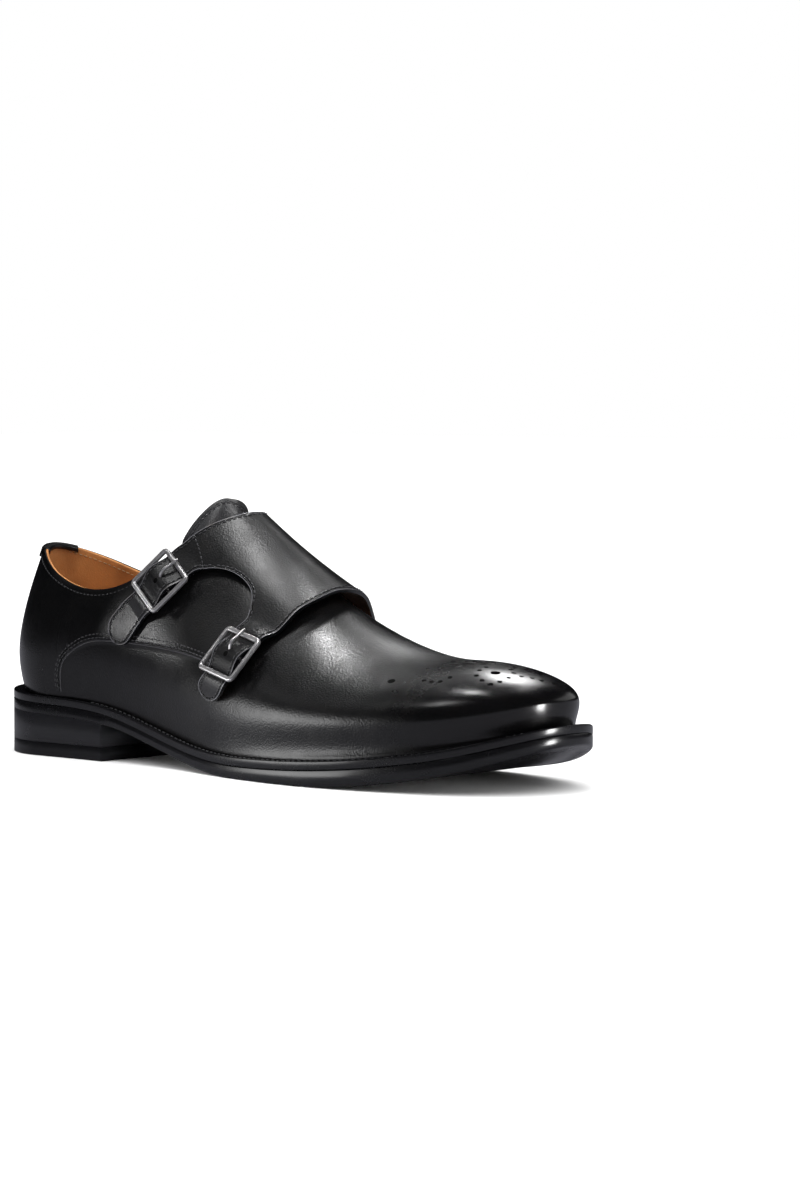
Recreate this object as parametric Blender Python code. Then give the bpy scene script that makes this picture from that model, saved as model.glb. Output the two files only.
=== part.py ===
"""Double monk strap shoe for the right foot: a men's dress shoe of about EU 43.

+X runs from heel to toe, +Y towards the inner (medial) side, +Z up, so the outer (lateral) side,
where the two buckles sit, is -Y.  Lengths are millimetres measured from the back of the heel at
floor level.  MM turns them into metres, and the origin is the centre of the sole's outline on
the floor.
"""
import bmesh
import bpy
import numpy as np
from mathutils import Matrix, Vector

MM = 0.001

# ---- driving sizes ---------------------------------------------------------------------------
LENGTH = 304.0              # outsole, back of heel to toe
GAP = 0.3                   # between neighbouring pieces
HEEL_RADIUS = 34.0          # rounding of the sole outline at the heel
TOE_ROUNDING = 49.0         # length over which the sole outline closes at the toe
TOE_POWER = 2.3             # 2 is an ellipse, more is squarer
SOLE_LIFT = 0.4             # how far the bottom curve is pressed into the floor to wear it flat
WELT_THICKNESS = 3.7        # upper layer of the sole edge
EDGE_ROUNDING = 0.5         # bevel of each sole layer
HEEL_LENGTH = 75.5          # heel block, back to breast
TOP_PIECE_HEIGHT = 6.0      # rubber under the heel block
WALL = 2.2                  # upper leather with its lining
FEATHER_START = 6.0         # back and front ends of the upper where it meets the welt
FEATHER_END = 296.3
GIRTH_START = 3.0           # back and front ends of the upper at its fullest
GIRTH_END = 298.2
UPPER_TOE_ROUNDING = 44.0   # length over which the upper closes in plan at the toe
TOE_BOX_LENGTH = 52.0       # length over which the ridge drops to the toe's front wall
TOE_BOX_POWER = 1.7
HEEL_LEAN = 8.8             # how far the back seam leans forward LEAN_HEIGHT above the bulge
LEAN_HEIGHT = 46.0
THROAT_FRONT = 172.0        # front end of the opening that the tongue fills
SEAM_STEP = 0.9             # raised edge of the quarters over the vamp
SEAM_FADE = 9.0             # the raised edge thins back over this height
INSOLE_THICKNESS = 2.0
TONGUE_THICKNESS = 2.0
TONGUE_REACH = 0.5          # half width in girth numbers
TONGUE_FRONT = 190.0        # its root under the vamp
TONGUE_RISE = 3.3           # from under the quarters to level with them, inside the opening
TONGUE_BULGE = 3.2          # further rise of its medial half
FLAP_THICKNESS = 1.7
BUCKLE_WIDTH = 23.0         # across the strap
BUCKLE_LENGTH = 22.0        # along the strap
BUCKLE_BAR = (2.1, 1.9)     # width and height of the frame's bars
BUCKLE_CORNER = 2.5
CENTRE_BAR_RADIUS = 0.7
PRONG_RADIUS = 0.7

# The sole, a row for each section: half widths, height of the underside, thickness of the edge.
SOLE_HEADER = "x lateral medial bottom thickness"
SOLE_ROWS = (
    (0, 32.5, 33.5, 20.4, 7.7),
    (40, 33.5, 34.0, 18.6, 7.7),
    (75, 34.2, 32.5, 16.2, 7.7),
    (100, 36.4, 30.5, 11.2, 7.5),
    (125, 40.3, 31.5, 5.2, 7.7),
    (150, 46.2, 36.0, 1.2, 8.4),
    (175, 51.4, 43.5, 0.0, 9.2),
    (200, 54.0, 49.5, 0.2, 9.8),
    (225, 52.8, 50.5, 1.5, 10.2),
    (250, 48.4, 47.0, 4.4, 10.1),
    (275, 42.2, 41.0, 9.2, 9.7),
    (304, 35.5, 34.5, 19.6, 7.9),
)

# The last, a row for each section.  inset: feather line inside the sole's edge.  bulge_lateral and
# bulge_medial: girth line outside the feather line.  girth: height of the girth line above the
# feather.  ridge: height of the top line, continued over the opening.  shift: ridge towards the
# medial side.  square: positive for a square section, negative for a peaked one.
LAST_HEADER = "x inset bulge_lateral bulge_medial girth ridge shift square"
LAST_ROWS = (
    (0, 2.0, 0.8, 0.8, 16, 117, 0.0, -0.25),
    (40, 2.0, 1.0, 1.2, 18, 118, 0.5, -0.25),
    (80, 2.5, 1.4, 2.5, 20, 119, 1.5, -0.25),
    (110, 3.0, 1.7, 4.5, 21, 115.5, 2.5, -0.27),
    (140, 3.5, 1.5, 5.0, 19, 98.4, 3.0, -0.30),
    (170, 4.0, 1.2, 3.0, 17, 78.4, 4.0, -0.26),
    (200, 4.5, 0.8, 1.5, 15.5, 60.5, 5.0, -0.12),
    (230, 4.5, 0.5, 1.0, 14, 50.8, 6.0, -0.02),
    (260, 4.5, 0.4, 0.5, 12.5, 50, 6.5, 0.0),
    (304, 4.5, 0.4, 0.5, 10.5, 54, 6.0, 0.0),
)

# Edge of the opening.  Places round a section are girth numbers: -1 lateral feather, 0 lateral
# girth line, 1 ridge, 2 medial girth line, 3 medial feather.
OPENING_HEADER = "x lateral medial"
OPENING_ROWS = (
    (0, 0.51, 1.49),
    (10, 0.48, 1.53),
    (20, 0.437, 1.57),
    (40, 0.352, 1.64),
    (60, 0.313, 1.665),
    (75, 0.338, 1.64),
    (90, 0.42, 1.53),
    (103, 0.52, 1.42),
    (120, 0.66, 1.35),
    (145, 0.85, 1.20),
    (172, 1.00, 1.00),
)

# Free top edge of the tongue.
TONGUE_TOP_HEADER = "place x"
TONGUE_TOP_ROWS = (
    (0.50, 103.5),
    (0.58, 104.0),
    (0.65, 105.3),
    (0.76, 108.8),
    (0.88, 112.8),
    (1.00, 116.6),
    (1.12, 117.8),
    (1.25, 115.5),
    (1.40, 107.5),
    (1.52, 101.5),
)

# Raised edge of the quarters over the vamp; the medial side mirrors it.
SEAM_HEADER = "x place"
SEAM_ROWS = (
    (45, -0.90),
    (50, -0.22),
    (55, -0.06),
    (61, 0.03),
    (76, 0.083),
    (92, 0.109),
    (113, 0.149),
    (138, 0.208),
    (155, 0.235),
    (163, 0.27),
    (168, 0.38),
    (173, 0.50),
    (180, 0.62),
)

# Edges of the strap flap as (x, place).  Its rear edge runs from the medial corner over the ridge
# and down the upper strap, its front edge down the lower strap, and the arched cut-out between
# them from one strap's end to the other's.
BODY_REAR = ((151, 1.78), (147, 1.62), (134, 1.545), (118, 1.50), (101, 1.435))
BODY_FRONT = ((171, 1.78), (172, 1.68), (173.5, 1.57), (175.5, 1.45), (178, 1.33))
REAR_EDGE = (
    (101, 1.435), (109, 1.33), (120, 1.22), (128.5, 1.11), (131.2, 1.02), (130, 0.93),
    (123.4, 0.78), (112.3, 0.624), (108.3, 0.566), (97, 0.425), (89, 0.327), (81.8, 0.235),
    (75.8, 0.14),
)
REAR_AT_STRAP = 7           # index of the point where the upper strap leaves the flap
REAR_AT_BUCKLE = 8          # and of the point where it goes under the buckle
FRONT_EDGE = (
    (178, 1.33), (180.3, 1.22), (181.6, 1.12), (181.8, 1.02), (181.2, 0.92), (180.9, 0.82),
    (179.5, 0.72), (178, 0.65), (176.7, 0.575), (174.6, 0.50), (171.4, 0.432), (168, 0.378),
    (165.4, 0.30), (163.2, 0.215), (161.6, 0.13), (160.2, 0.035),
)
FRONT_AT_STRAP = 8
FRONT_AT_BUCKLE = 11
CUT_OUT = (
    (89.5, 0.065), (96, 0.175), (101.8, 0.272), (110, 0.375), (118.9, 0.488), (129.3, 0.565),
    (139, 0.608), (148, 0.617), (153.6, 0.592), (156.3, 0.53), (156.4, 0.45), (151.8, 0.368),
    (148.2, 0.285), (145.3, 0.205), (143.2, 0.12), (142.6, 0.05),
)
CUT_OUT_UPPER_BUCKLE = 4
CUT_OUT_TOP_START = 5       # the flap ends along the cut-out from this point
CUT_OUT_TOP_END = 9         # to this one, and the straps leave it on either side
CUT_OUT_LOWER_BUCKLE = 11

FLAP_LIFT = 2.0             # underside of the flap above the last at its rear edge
FLAP_LIFT_FRONT = 4.8       # and at its front edge
STRAP_LIFT = 1.2            # underside of the straps where they lie on the quarter
STRAP_TIP = 7.0             # rounding of the strap ends
STRAP_HALF_WIDTH = 7.8      # at the buckle's centre bar
STRAP_TAPER = 0.5           # narrowing from there to the far bar
STRAP_UNDER_BAR = 1.3       # top of a strap under the buckle's two end bars, below their middle
STRAP_BULGE = 3.2           # rise of a strap over the centre bar
CENTRE_BAR_DROP = 1.6       # centre bar below the frame
TAB_THICKNESS = 0.5         # leather loop round the centre bar
TAB_WIDTH = 9.0
HEEL_TAB_LATERAL = 7.0      # strip over the back of the collar, along x on each side
HEEL_TAB_MEDIAL = 5.0
HEEL_TAB_THICKNESS = 0.7
HEEL_TAB_DROP = 3.5

# The buckles: centre of the frame, direction along the strap to its end, and facing direction.
BUCKLE_HEADER = "name centre along facing"
BUCKLES = (
    ("upper", (107.1, -30.9, 78.4), (-0.59, -0.40, -0.70), (0.05, -0.89, 0.46)),
    ("lower", (159.3, -43.6, 50.6), (-0.27, -0.58, -0.77), (0.00, -0.80, 0.60)),
)


# ---- curves and surfaces ---------------------------------------------------------------------
def spline(knots, values):
    """Natural cubic spline through the values at the knots."""
    knots = np.asarray(knots, float)
    values = np.asarray(values, float)
    gaps = np.diff(knots)
    slopes = np.diff(values) / gaps
    system = np.eye(len(knots))
    target = np.zeros(len(knots))
    for i in range(1, len(knots) - 1):
        system[i, i - 1:i + 2] = gaps[i - 1], 2 * (gaps[i - 1] + gaps[i]), gaps[i]
        target[i] = 6 * (slopes[i] - slopes[i - 1])
    bends = np.linalg.solve(system, target)

    def curve(x):
        i = np.clip(np.searchsorted(knots, x) - 1, 0, len(gaps) - 1)
        a = (knots[i + 1] - x) / gaps[i]
        b = 1 - a
        swell = ((a**3 - a) * bends[i] + (b**3 - b) * bends[i + 1]) * gaps[i]**2 / 6
        return a * values[i] + b * values[i + 1] + swell
    return curve


def table_curves(header, rows):
    """A spline over the first column for each further column of a table, by name."""
    table = np.array(rows, float)
    names = header.split()
    return {name: spline(table[:, 0], table[:, k]) for k, name in enumerate(names) if k}


SOLE = table_curves(SOLE_HEADER, SOLE_ROWS)
LAST = table_curves(LAST_HEADER, LAST_ROWS)
OPENING = table_curves(OPENING_HEADER, OPENING_ROWS)
TONGUE_TOP = table_curves(TONGUE_TOP_HEADER, TONGUE_TOP_ROWS)
SEAM = table_curves(SEAM_HEADER, SEAM_ROWS)


def smooth(t):
    """Smooth step from 0 to 1 as t runs from 0 to 1."""
    t = np.clip(t, 0, 1)
    return t * t * (3 - 2 * t)


def heel_rounding(x):
    """Factor that closes an outline at the heel: a quarter ellipse."""
    return np.sqrt(1 - np.clip((HEEL_RADIUS - x) / HEEL_RADIUS, 0, 1)**2)


def toe_rounding(x, rounding, power):
    """Factor that closes an outline over the last stretch before the toe."""
    t = np.clip((x - LENGTH + rounding) / rounding, 0, 1)
    return (1 - t**power)**(1 / power)


def sole_bottom(x):
    """Height of the outsole's underside, flat on the floor under the ball."""
    return np.maximum(SOLE["bottom"](x) - SOLE_LIFT, 0)


def sole_top(x):
    """Height of the welt's upper face."""
    return SOLE["bottom"](x) + SOLE["thickness"](x)


def last(x, place):
    """Outer surface of the upper at section x and girth number place, shape (..., 3).

    Over the girth line a section is a quarter superellipse on each side,
    y = -w cos(a) (1 + k sin(a)^2), z = girth + rise sin(a) (1 + k cos(a)^2), with a = place * 90
    degrees.  Under it the wall curves in to the feather.  Widths and rise close at heel and toe.
    """
    x, place = np.broadcast_arrays(np.asarray(x, float), np.asarray(place, float))
    share = x / LENGTH
    closing = heel_rounding(x) * toe_rounding(x, UPPER_TOE_ROUNDING, TOE_POWER)
    feather_lateral = SOLE["lateral"](x) - LAST["inset"](x)
    feather_medial = SOLE["medial"](x) - LAST["inset"](x)
    girth_lateral = (feather_lateral + LAST["bulge_lateral"](x)) * closing
    girth_medial = (feather_medial + LAST["bulge_medial"](x)) * closing
    half = (girth_lateral + girth_medial) / 2
    middle = (girth_medial - girth_lateral) / 2
    feather_x = FEATHER_START + (FEATHER_END - FEATHER_START) * share
    girth_x = GIRTH_START + (GIRTH_END - GIRTH_START) * share
    wall_height = LAST["girth"](x)
    girth_z = sole_top(feather_x) + GAP + wall_height
    rise = (LAST["ridge"](x) - girth_z) * toe_rounding(x, TOE_BOX_LENGTH, TOE_BOX_POWER)
    square = LAST["square"](x)

    angle = np.clip(place, 0, 2) * np.pi / 2
    shift = LAST["shift"](x) * closing * np.sin(angle)**2
    dome_y = middle - half * np.cos(angle) * (1 + square * np.sin(angle)**2) + shift
    dome_z = girth_z + rise * np.sin(angle) * (1 + square * np.cos(angle)**2)
    lean = HEEL_LEAN * (np.maximum(dome_z - girth_z, 0) / LEAN_HEIGHT)**1.5 * (1 - share)**3

    down = np.where(place < 0, -place, np.where(place > 2, place - 2, 0))
    side = np.where(place < 1, -1, 1)
    full = np.where(place < 1, girth_lateral, girth_medial)
    foot = np.where(place < 1, feather_lateral, feather_medial) * closing
    match = wall_height**2 * half * (0.5 - square) / (np.maximum(rise, 1) * (1 + square))**2
    tuck = np.maximum(match - (full - foot), 0) * closing**2
    wall_y = side * (full - (full - foot) * down**2 - tuck * down**2 * (1 - down))

    on_wall = down > 0
    return np.stack([
        np.where(on_wall, girth_x + (feather_x - girth_x) * down**2, girth_x + lean),
        np.where(on_wall, wall_y, dome_y),
        np.where(on_wall, girth_z - wall_height * down, dome_z),
    ], axis=-1)


def last_normal(x, place):
    """Outward unit normal of the last, away from its two ends."""
    step_x, step_place = 0.2, 0.002
    along = last(x + step_x, place) - last(x - step_x, place)
    across = last(x, place + step_place) - last(x, place - step_place)
    normal = np.cross(along, across)
    return normal / np.linalg.norm(normal, axis=-1, keepdims=True)


# ---- meshes ----------------------------------------------------------------------------------
def outline_box_centre():
    """Centre of the sole's outline in plan, the shoe's origin."""
    x = np.linspace(0, LENGTH, 400)
    closing = heel_rounding(x) * toe_rounding(x, TOE_ROUNDING, TOE_POWER)
    return LENGTH / 2, (np.max(SOLE["medial"](x) * closing) - np.max(SOLE["lateral"](x) * closing)) / 2


ORIGIN = np.array([*outline_box_centre(), 0.0])


def material(name, colour, roughness, metallic=0.0):
    """Plain Principled material."""
    made = bpy.data.materials.new(name)
    made.use_nodes = True
    shader = made.node_tree.nodes["Principled BSDF"]
    shader.inputs["Base Color"].default_value = (*colour, 1.0)
    shader.inputs["Roughness"].default_value = roughness
    shader.inputs["Metallic"].default_value = metallic
    return made


def add_object(name, vertices, faces, finish, is_local=False):
    """Object from millimetre vertices, welded, with its faces turned outwards."""
    vertices = np.asarray(vertices, float).reshape(-1, 3)
    if not is_local:
        vertices = vertices - ORIGIN
    mesh = bpy.data.meshes.new(name)
    mesh.from_pydata((vertices * MM).tolist(), [], faces)
    work = bmesh.new()
    work.from_mesh(mesh)
    bmesh.ops.remove_doubles(work, verts=work.verts, dist=0.005 * MM)
    bmesh.ops.recalc_face_normals(work, faces=work.faces)
    work.to_mesh(mesh)
    work.free()
    mesh.shade_smooth()
    mesh.materials.append(finish)
    made = bpy.data.objects.new(name, mesh)
    bpy.context.collection.objects.link(made)
    return made


def grid_faces(rows, columns, first=0, closed=False):
    """Quads of a grid of vertices numbered row by row; closed joins its last column to its first."""
    quads = []
    for r in range(rows - 1):
        for c in range(columns if closed else columns - 1):
            d = (c + 1) % columns
            quads.append((first + r * columns + c, first + r * columns + d,
                          first + (r + 1) * columns + d, first + (r + 1) * columns + c))
    return quads


def add_slab(name, rings, pairs, finish):
    """Solid from outline rings, bottom to top, capped by quads between paired outline points."""
    count = len(rings[0])
    faces = grid_faces(len(rings), count, closed=True)
    top = (len(rings) - 1) * count
    for (a, b), (c, d) in zip(pairs[:-1], pairs[1:]):
        cap = tuple(dict.fromkeys((a, b, d, c)))
        faces.append(cap)
        faces.append(tuple(top + v for v in cap))
    return add_object(name, np.concatenate(rings), faces, finish)


def outline_ring(x, lateral, medial, height):
    """Closed outline: the lateral side from heel to toe, then back along the medial side."""
    forward = np.stack([x, -lateral, height], axis=-1)
    back = np.stack([x, medial, height], axis=-1)[-2:0:-1]
    return np.concatenate([forward, back])


def outline_pairs(count):
    """Lateral and medial points of an outline_ring of count sections that face each other."""
    return [(i, (2 * count - 2 - i) % (2 * count - 2)) for i in range(count)]


def sole_ring(count, inset, height, length=LENGTH):
    """Ring of the sole's outline, moved inwards by inset, at height(x)."""
    t = (1 - np.cos(np.linspace(0, np.pi, count))) / 2
    x = length * t
    closing = heel_rounding(x) * toe_rounding(x, TOE_ROUNDING, TOE_POWER)
    lateral = np.maximum(SOLE["lateral"](x) - inset, 0) * closing
    medial = np.maximum(SOLE["medial"](x) - inset, 0) * closing
    moved = inset + x * (length - 2 * inset) / length
    return outline_ring(moved, lateral, medial, height(moved))


def add_sole_layer(name, bottom, top, finish):
    """Layer of the sole between two height curves, its edge rounded above and below."""
    count = 38
    rings = [
        sole_ring(count, EDGE_ROUNDING, bottom),
        sole_ring(count, 0, lambda x: bottom(x) + EDGE_ROUNDING),
        sole_ring(count, 0, lambda x: top(x) - EDGE_ROUNDING),
        sole_ring(count, EDGE_ROUNDING, top),
    ]
    return add_slab(name, rings, outline_pairs(count), finish)


def welt_bottom(x):
    """Underside of the welt layer."""
    return sole_top(x) - WELT_THICKNESS


def outsole_top(x):
    """Upper face of the outsole layer."""
    return welt_bottom(x) - GAP


def heel_top(x):
    """Upper face of the heel block, under the outsole."""
    return sole_bottom(x) - GAP


def add_heel_layer(name, bottom, top, finish):
    """Heel block or top piece: the sole's outline as far as the straight breast."""
    x = HEEL_LENGTH * (1 - np.cos(np.linspace(0, np.pi / 2, 18)))
    x[-1] = HEEL_LENGTH

    def ring(inset, height):
        closing = heel_rounding(x)
        lateral = np.maximum(SOLE["lateral"](x) - inset, 0) * closing
        medial = np.maximum(SOLE["medial"](x) - inset, 0) * closing
        moved = inset + x * (HEEL_LENGTH - 2 * inset) / HEEL_LENGTH
        forward = np.stack([moved, -lateral, height(moved)], axis=-1)
        back = np.stack([moved, medial, height(moved)], axis=-1)[:0:-1]
        return np.concatenate([forward, back])
    rings = [
        ring(EDGE_ROUNDING, bottom),
        ring(0, lambda x: bottom(x) + EDGE_ROUNDING),
        ring(0, lambda x: top(x) - EDGE_ROUNDING),
        ring(EDGE_ROUNDING, top),
    ]
    count = len(x)
    pairs = [(i, (2 * count - 1 - i) % (2 * count - 1)) for i in range(count)]
    return add_slab(name, rings, pairs, finish)


def add_insole(finish):
    """Insole inside the foot of the upper's wall."""
    count = 34
    x = LENGTH * (1 - np.cos(np.linspace(0, np.pi, count))) / 2
    margin = WALL + 1.3
    foot_lateral = -last(x, -1.0)[:, 1]
    foot_medial = last(x, 3.0)[:, 1]
    start = FEATHER_START + margin
    along = start + (FEATHER_END - margin - start) * x / LENGTH
    closing = heel_rounding(x) * toe_rounding(x, UPPER_TOE_ROUNDING, TOE_POWER)
    lateral = foot_lateral - margin * closing
    medial = foot_medial - margin * closing
    lower = outline_ring(along, lateral, medial, sole_top(along) + GAP)
    upper = outline_ring(along, lateral, medial, sole_top(along) + GAP + INSOLE_THICKNESS)
    return add_slab("insole", [lower, upper], outline_pairs(count), finish)


def upper_sections():
    """Sections of the upper from toe to heel, closer where its seams climb steeply."""
    even = LENGTH * (1 + np.cos(np.linspace(0, np.pi, 38))) / 2
    extra = np.array([47.0, 49.0, 52.5, 56.0, THROAT_FRONT, 167.5, 177.0])
    keep = np.min(np.abs(even[:, None] - extra), axis=1) > 1.5
    return np.sort(np.concatenate([even[keep], extra]))[::-1]


def upper_grid(x, shares, seam_row=None):
    """Points of one side pair of the upper, rows from feather to edge, columns round the shoe.

    The columns run from the toe along the lateral side to the heel and back along the medial
    side.  Each column's rows split the way from the feather (0) to the edge of the opening or
    the ridge (1).  With seam_row, that row and the next follow the quarters' seam instead, and
    the leather above it stands SEAM_STEP proud.
    """
    columns = np.concatenate([x, x[-2:0:-1]])
    is_medial = np.arange(len(columns)) >= len(x)
    edge_lateral = np.where(columns < THROAT_FRONT, OPENING["lateral"](columns), 1.0)
    edge_medial = np.where(columns < THROAT_FRONT, OPENING["medial"](columns), 1.0)
    edge = np.where(is_medial, 2 - edge_medial, edge_lateral)
    shares = np.asarray(shares)[:, None]
    place = -1 + (edge + 1) * shares
    proud = np.zeros_like(place)
    if seam_row is not None:
        seam = np.where(columns < 45, SEAM_ROWS[0][1], SEAM["place"](np.clip(columns, 45, 181)))
        below = shares[:seam_row + 1] / shares[seam_row]
        above = (shares[seam_row + 1:] - shares[seam_row + 1]) / (1 - shares[seam_row + 1])
        place[:seam_row + 1] = -1 + (seam + 1) * below
        lift = 0.012
        place[seam_row + 1:] = seam + lift + (edge - seam - lift) * above
        fade = np.exp(-(place - seam) * 45 / SEAM_FADE)
        span = smooth((columns - 43) / 3) * smooth((182 - columns) / 4)
        proud = np.where(place > seam + lift / 2, SEAM_STEP * fade * span, 0)
    place = np.where(is_medial, 2 - place, place)
    points = last(columns, place)
    normals = ring_normals(points, columns)
    return points + normals * proud[..., None], normals


def ring_normals(points, columns):
    """Outward normals of a grid whose columns close round the shoe and whose ridge is welded."""
    along = np.roll(points, -1, axis=1) - np.roll(points, 1, axis=1)
    up = np.gradient(points, axis=0)
    normals = np.cross(up, along)
    size = np.linalg.norm(normals, axis=-1, keepdims=True)
    toe_pole = np.array([1.0, 0.0, 0.0])
    normals = np.where(size > 1e-6, normals / np.maximum(size, 1e-6), toe_pole)
    mirror = -np.arange(len(columns)) % len(columns)
    ridge = normals[-1] + normals[-1][mirror]
    ridge = ridge / np.linalg.norm(ridge, axis=-1, keepdims=True)
    normals[-1] = np.where((columns >= THROAT_FRONT)[:, None], ridge, normals[-1])
    normals[:, 0, 1] = 0
    is_dome = points[:, 0, 2] >= points[-1, 0, 2] - 1e-6
    normals[is_dome, 0] = toe_pole
    return normals


def add_upper(finish):
    """Vamp and quarters as one hollow wall, open at the opening and underneath."""
    x = upper_sections()
    seam_row = 5
    shares = np.concatenate([np.linspace(0, 0.45, seam_row + 1), np.linspace(0.47, 1, 8)])
    outer, _ = upper_grid(x, shares, seam_row)
    core, normals = upper_grid(x, np.linspace(0, 1, 13))
    inner = core - normals * WALL
    inner[0, :, 2] = outer[0, :, 2]
    columns = outer.shape[1]
    first_inner = outer.shape[0] * columns
    faces = grid_faces(outer.shape[0], columns, closed=True)
    faces += [quad[::-1] for quad in grid_faces(inner.shape[0], columns, first_inner, closed=True)]
    outer_edge = (outer.shape[0] - 1) * columns
    inner_edge = first_inner + (inner.shape[0] - 1) * columns
    round_x = np.concatenate([x, x[-2:0:-1]])
    for c in range(columns):
        d = (c + 1) % columns
        faces.append((c, first_inner + c, first_inner + d, d))
        if min(round_x[c], round_x[d]) < THROAT_FRONT:
            faces.append((outer_edge + c, outer_edge + d, inner_edge + d, inner_edge + c))
    vertices = np.concatenate([outer.reshape(-1, 3), inner.reshape(-1, 3)])
    return add_object("upper", vertices, faces, finish)


def add_sheet(name, points, faces, thickness, finish):
    """Sheet thickened inwards, towards the foot."""
    made = add_object(name, points, faces, finish)
    solid = made.modifiers.new("thickness", "SOLIDIFY")
    solid.thickness = thickness * MM
    solid.offset = -1
    return made


def add_tongue(finish):
    """Tongue: under the vamp at its root, rising through the opening to its free top edge."""
    place = 1 + np.linspace(-TONGUE_REACH, TONGUE_REACH, 21)
    top = TONGUE_TOP["x"](place)
    x = top + (TONGUE_FRONT - top) * np.linspace(0, 1, 13)[:, None]**1.3
    shown = smooth((124 - x) / 10)
    inside = np.minimum(place - OPENING["lateral"](x), OPENING["medial"](x) - place)
    rise = TONGUE_RISE * smooth((inside - 0.005) / 0.055)
    rise = rise + TONGUE_BULGE * smooth((place - 0.95) / 0.2) * smooth((inside - 0.06) / 0.1)
    depth = WALL + 1.4 - rise * shown
    points = last(x, place) - last_normal(x, place) * depth[..., None]
    return add_sheet("tongue", points, grid_faces(*x.shape), TONGUE_THICKNESS, finish)


def edge_run(points, start, end, count):
    """Points (x, place) spaced evenly along an edge, from one of its listed points to another."""
    points = np.array(points, float)
    on_last = last(points[:, 0], points[:, 1])
    knots = np.concatenate([[0], np.cumsum(np.linalg.norm(np.diff(on_last, axis=0), axis=-1))])
    t = np.linspace(knots[start], knots[end], count)
    return np.stack([spline(knots, points[:, 0])(t), spline(knots, points[:, 1])(t)], axis=-1)


def ruled(rear, front, rows):
    """Grid of (x, place) ruled between a rear edge and a front edge."""
    share = np.linspace(0, 1, rows)[:, None, None]
    return rear * (1 - share) + front * share


def buckle_frame(centre, along, facing):
    """Centre of a buckle with its unit axes along the strap, across it and away from the foot."""
    facing = np.array(facing) / np.linalg.norm(facing)
    along = np.array(along) - facing * np.dot(along, facing)
    along = along / np.linalg.norm(along)
    return np.array(centre), along, np.cross(facing, along), facing


def round_tip(grid):
    """Round the end of a strap by drawing its last rows of points towards its middle line."""
    middle = (grid[:1] + grid[-1:]) / 2
    points = last(middle[..., 0], middle[..., 1])
    steps = np.linalg.norm(np.diff(points[0], axis=0), axis=-1)
    to_end = np.concatenate([np.cumsum(steps[::-1])[::-1], [0]])
    narrow = np.sqrt(1 - np.clip(1 - to_end / STRAP_TIP, 0, 0.995)**2)
    return middle + (grid - middle) * narrow[None, :, None]


def strap_over_buckle(points, centre, along, across, facing):
    """Lead a strap's outer face, rows across it, under the end bars and over the centre bar."""
    off = np.sum((points - centre) * along, axis=-1)
    bar = (BUCKLE_LENGTH - BUCKLE_BAR[0]) / 2
    wave = STRAP_BULGE * np.cos(np.clip(off / bar, -1, 1) * np.pi / 2)**2
    half = STRAP_HALF_WIDTH - STRAP_TAPER * off / bar
    aside = np.linspace(-1, 1, len(points))[:, None] * half
    held = centre + along * off[..., None] + across * aside[..., None]
    held = held + facing * (wave - STRAP_UNDER_BAR)[..., None]
    share = 1 - smooth((np.abs(off) - bar - 1.0) / 8)
    return points + (held - points) * share[..., None]


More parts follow.
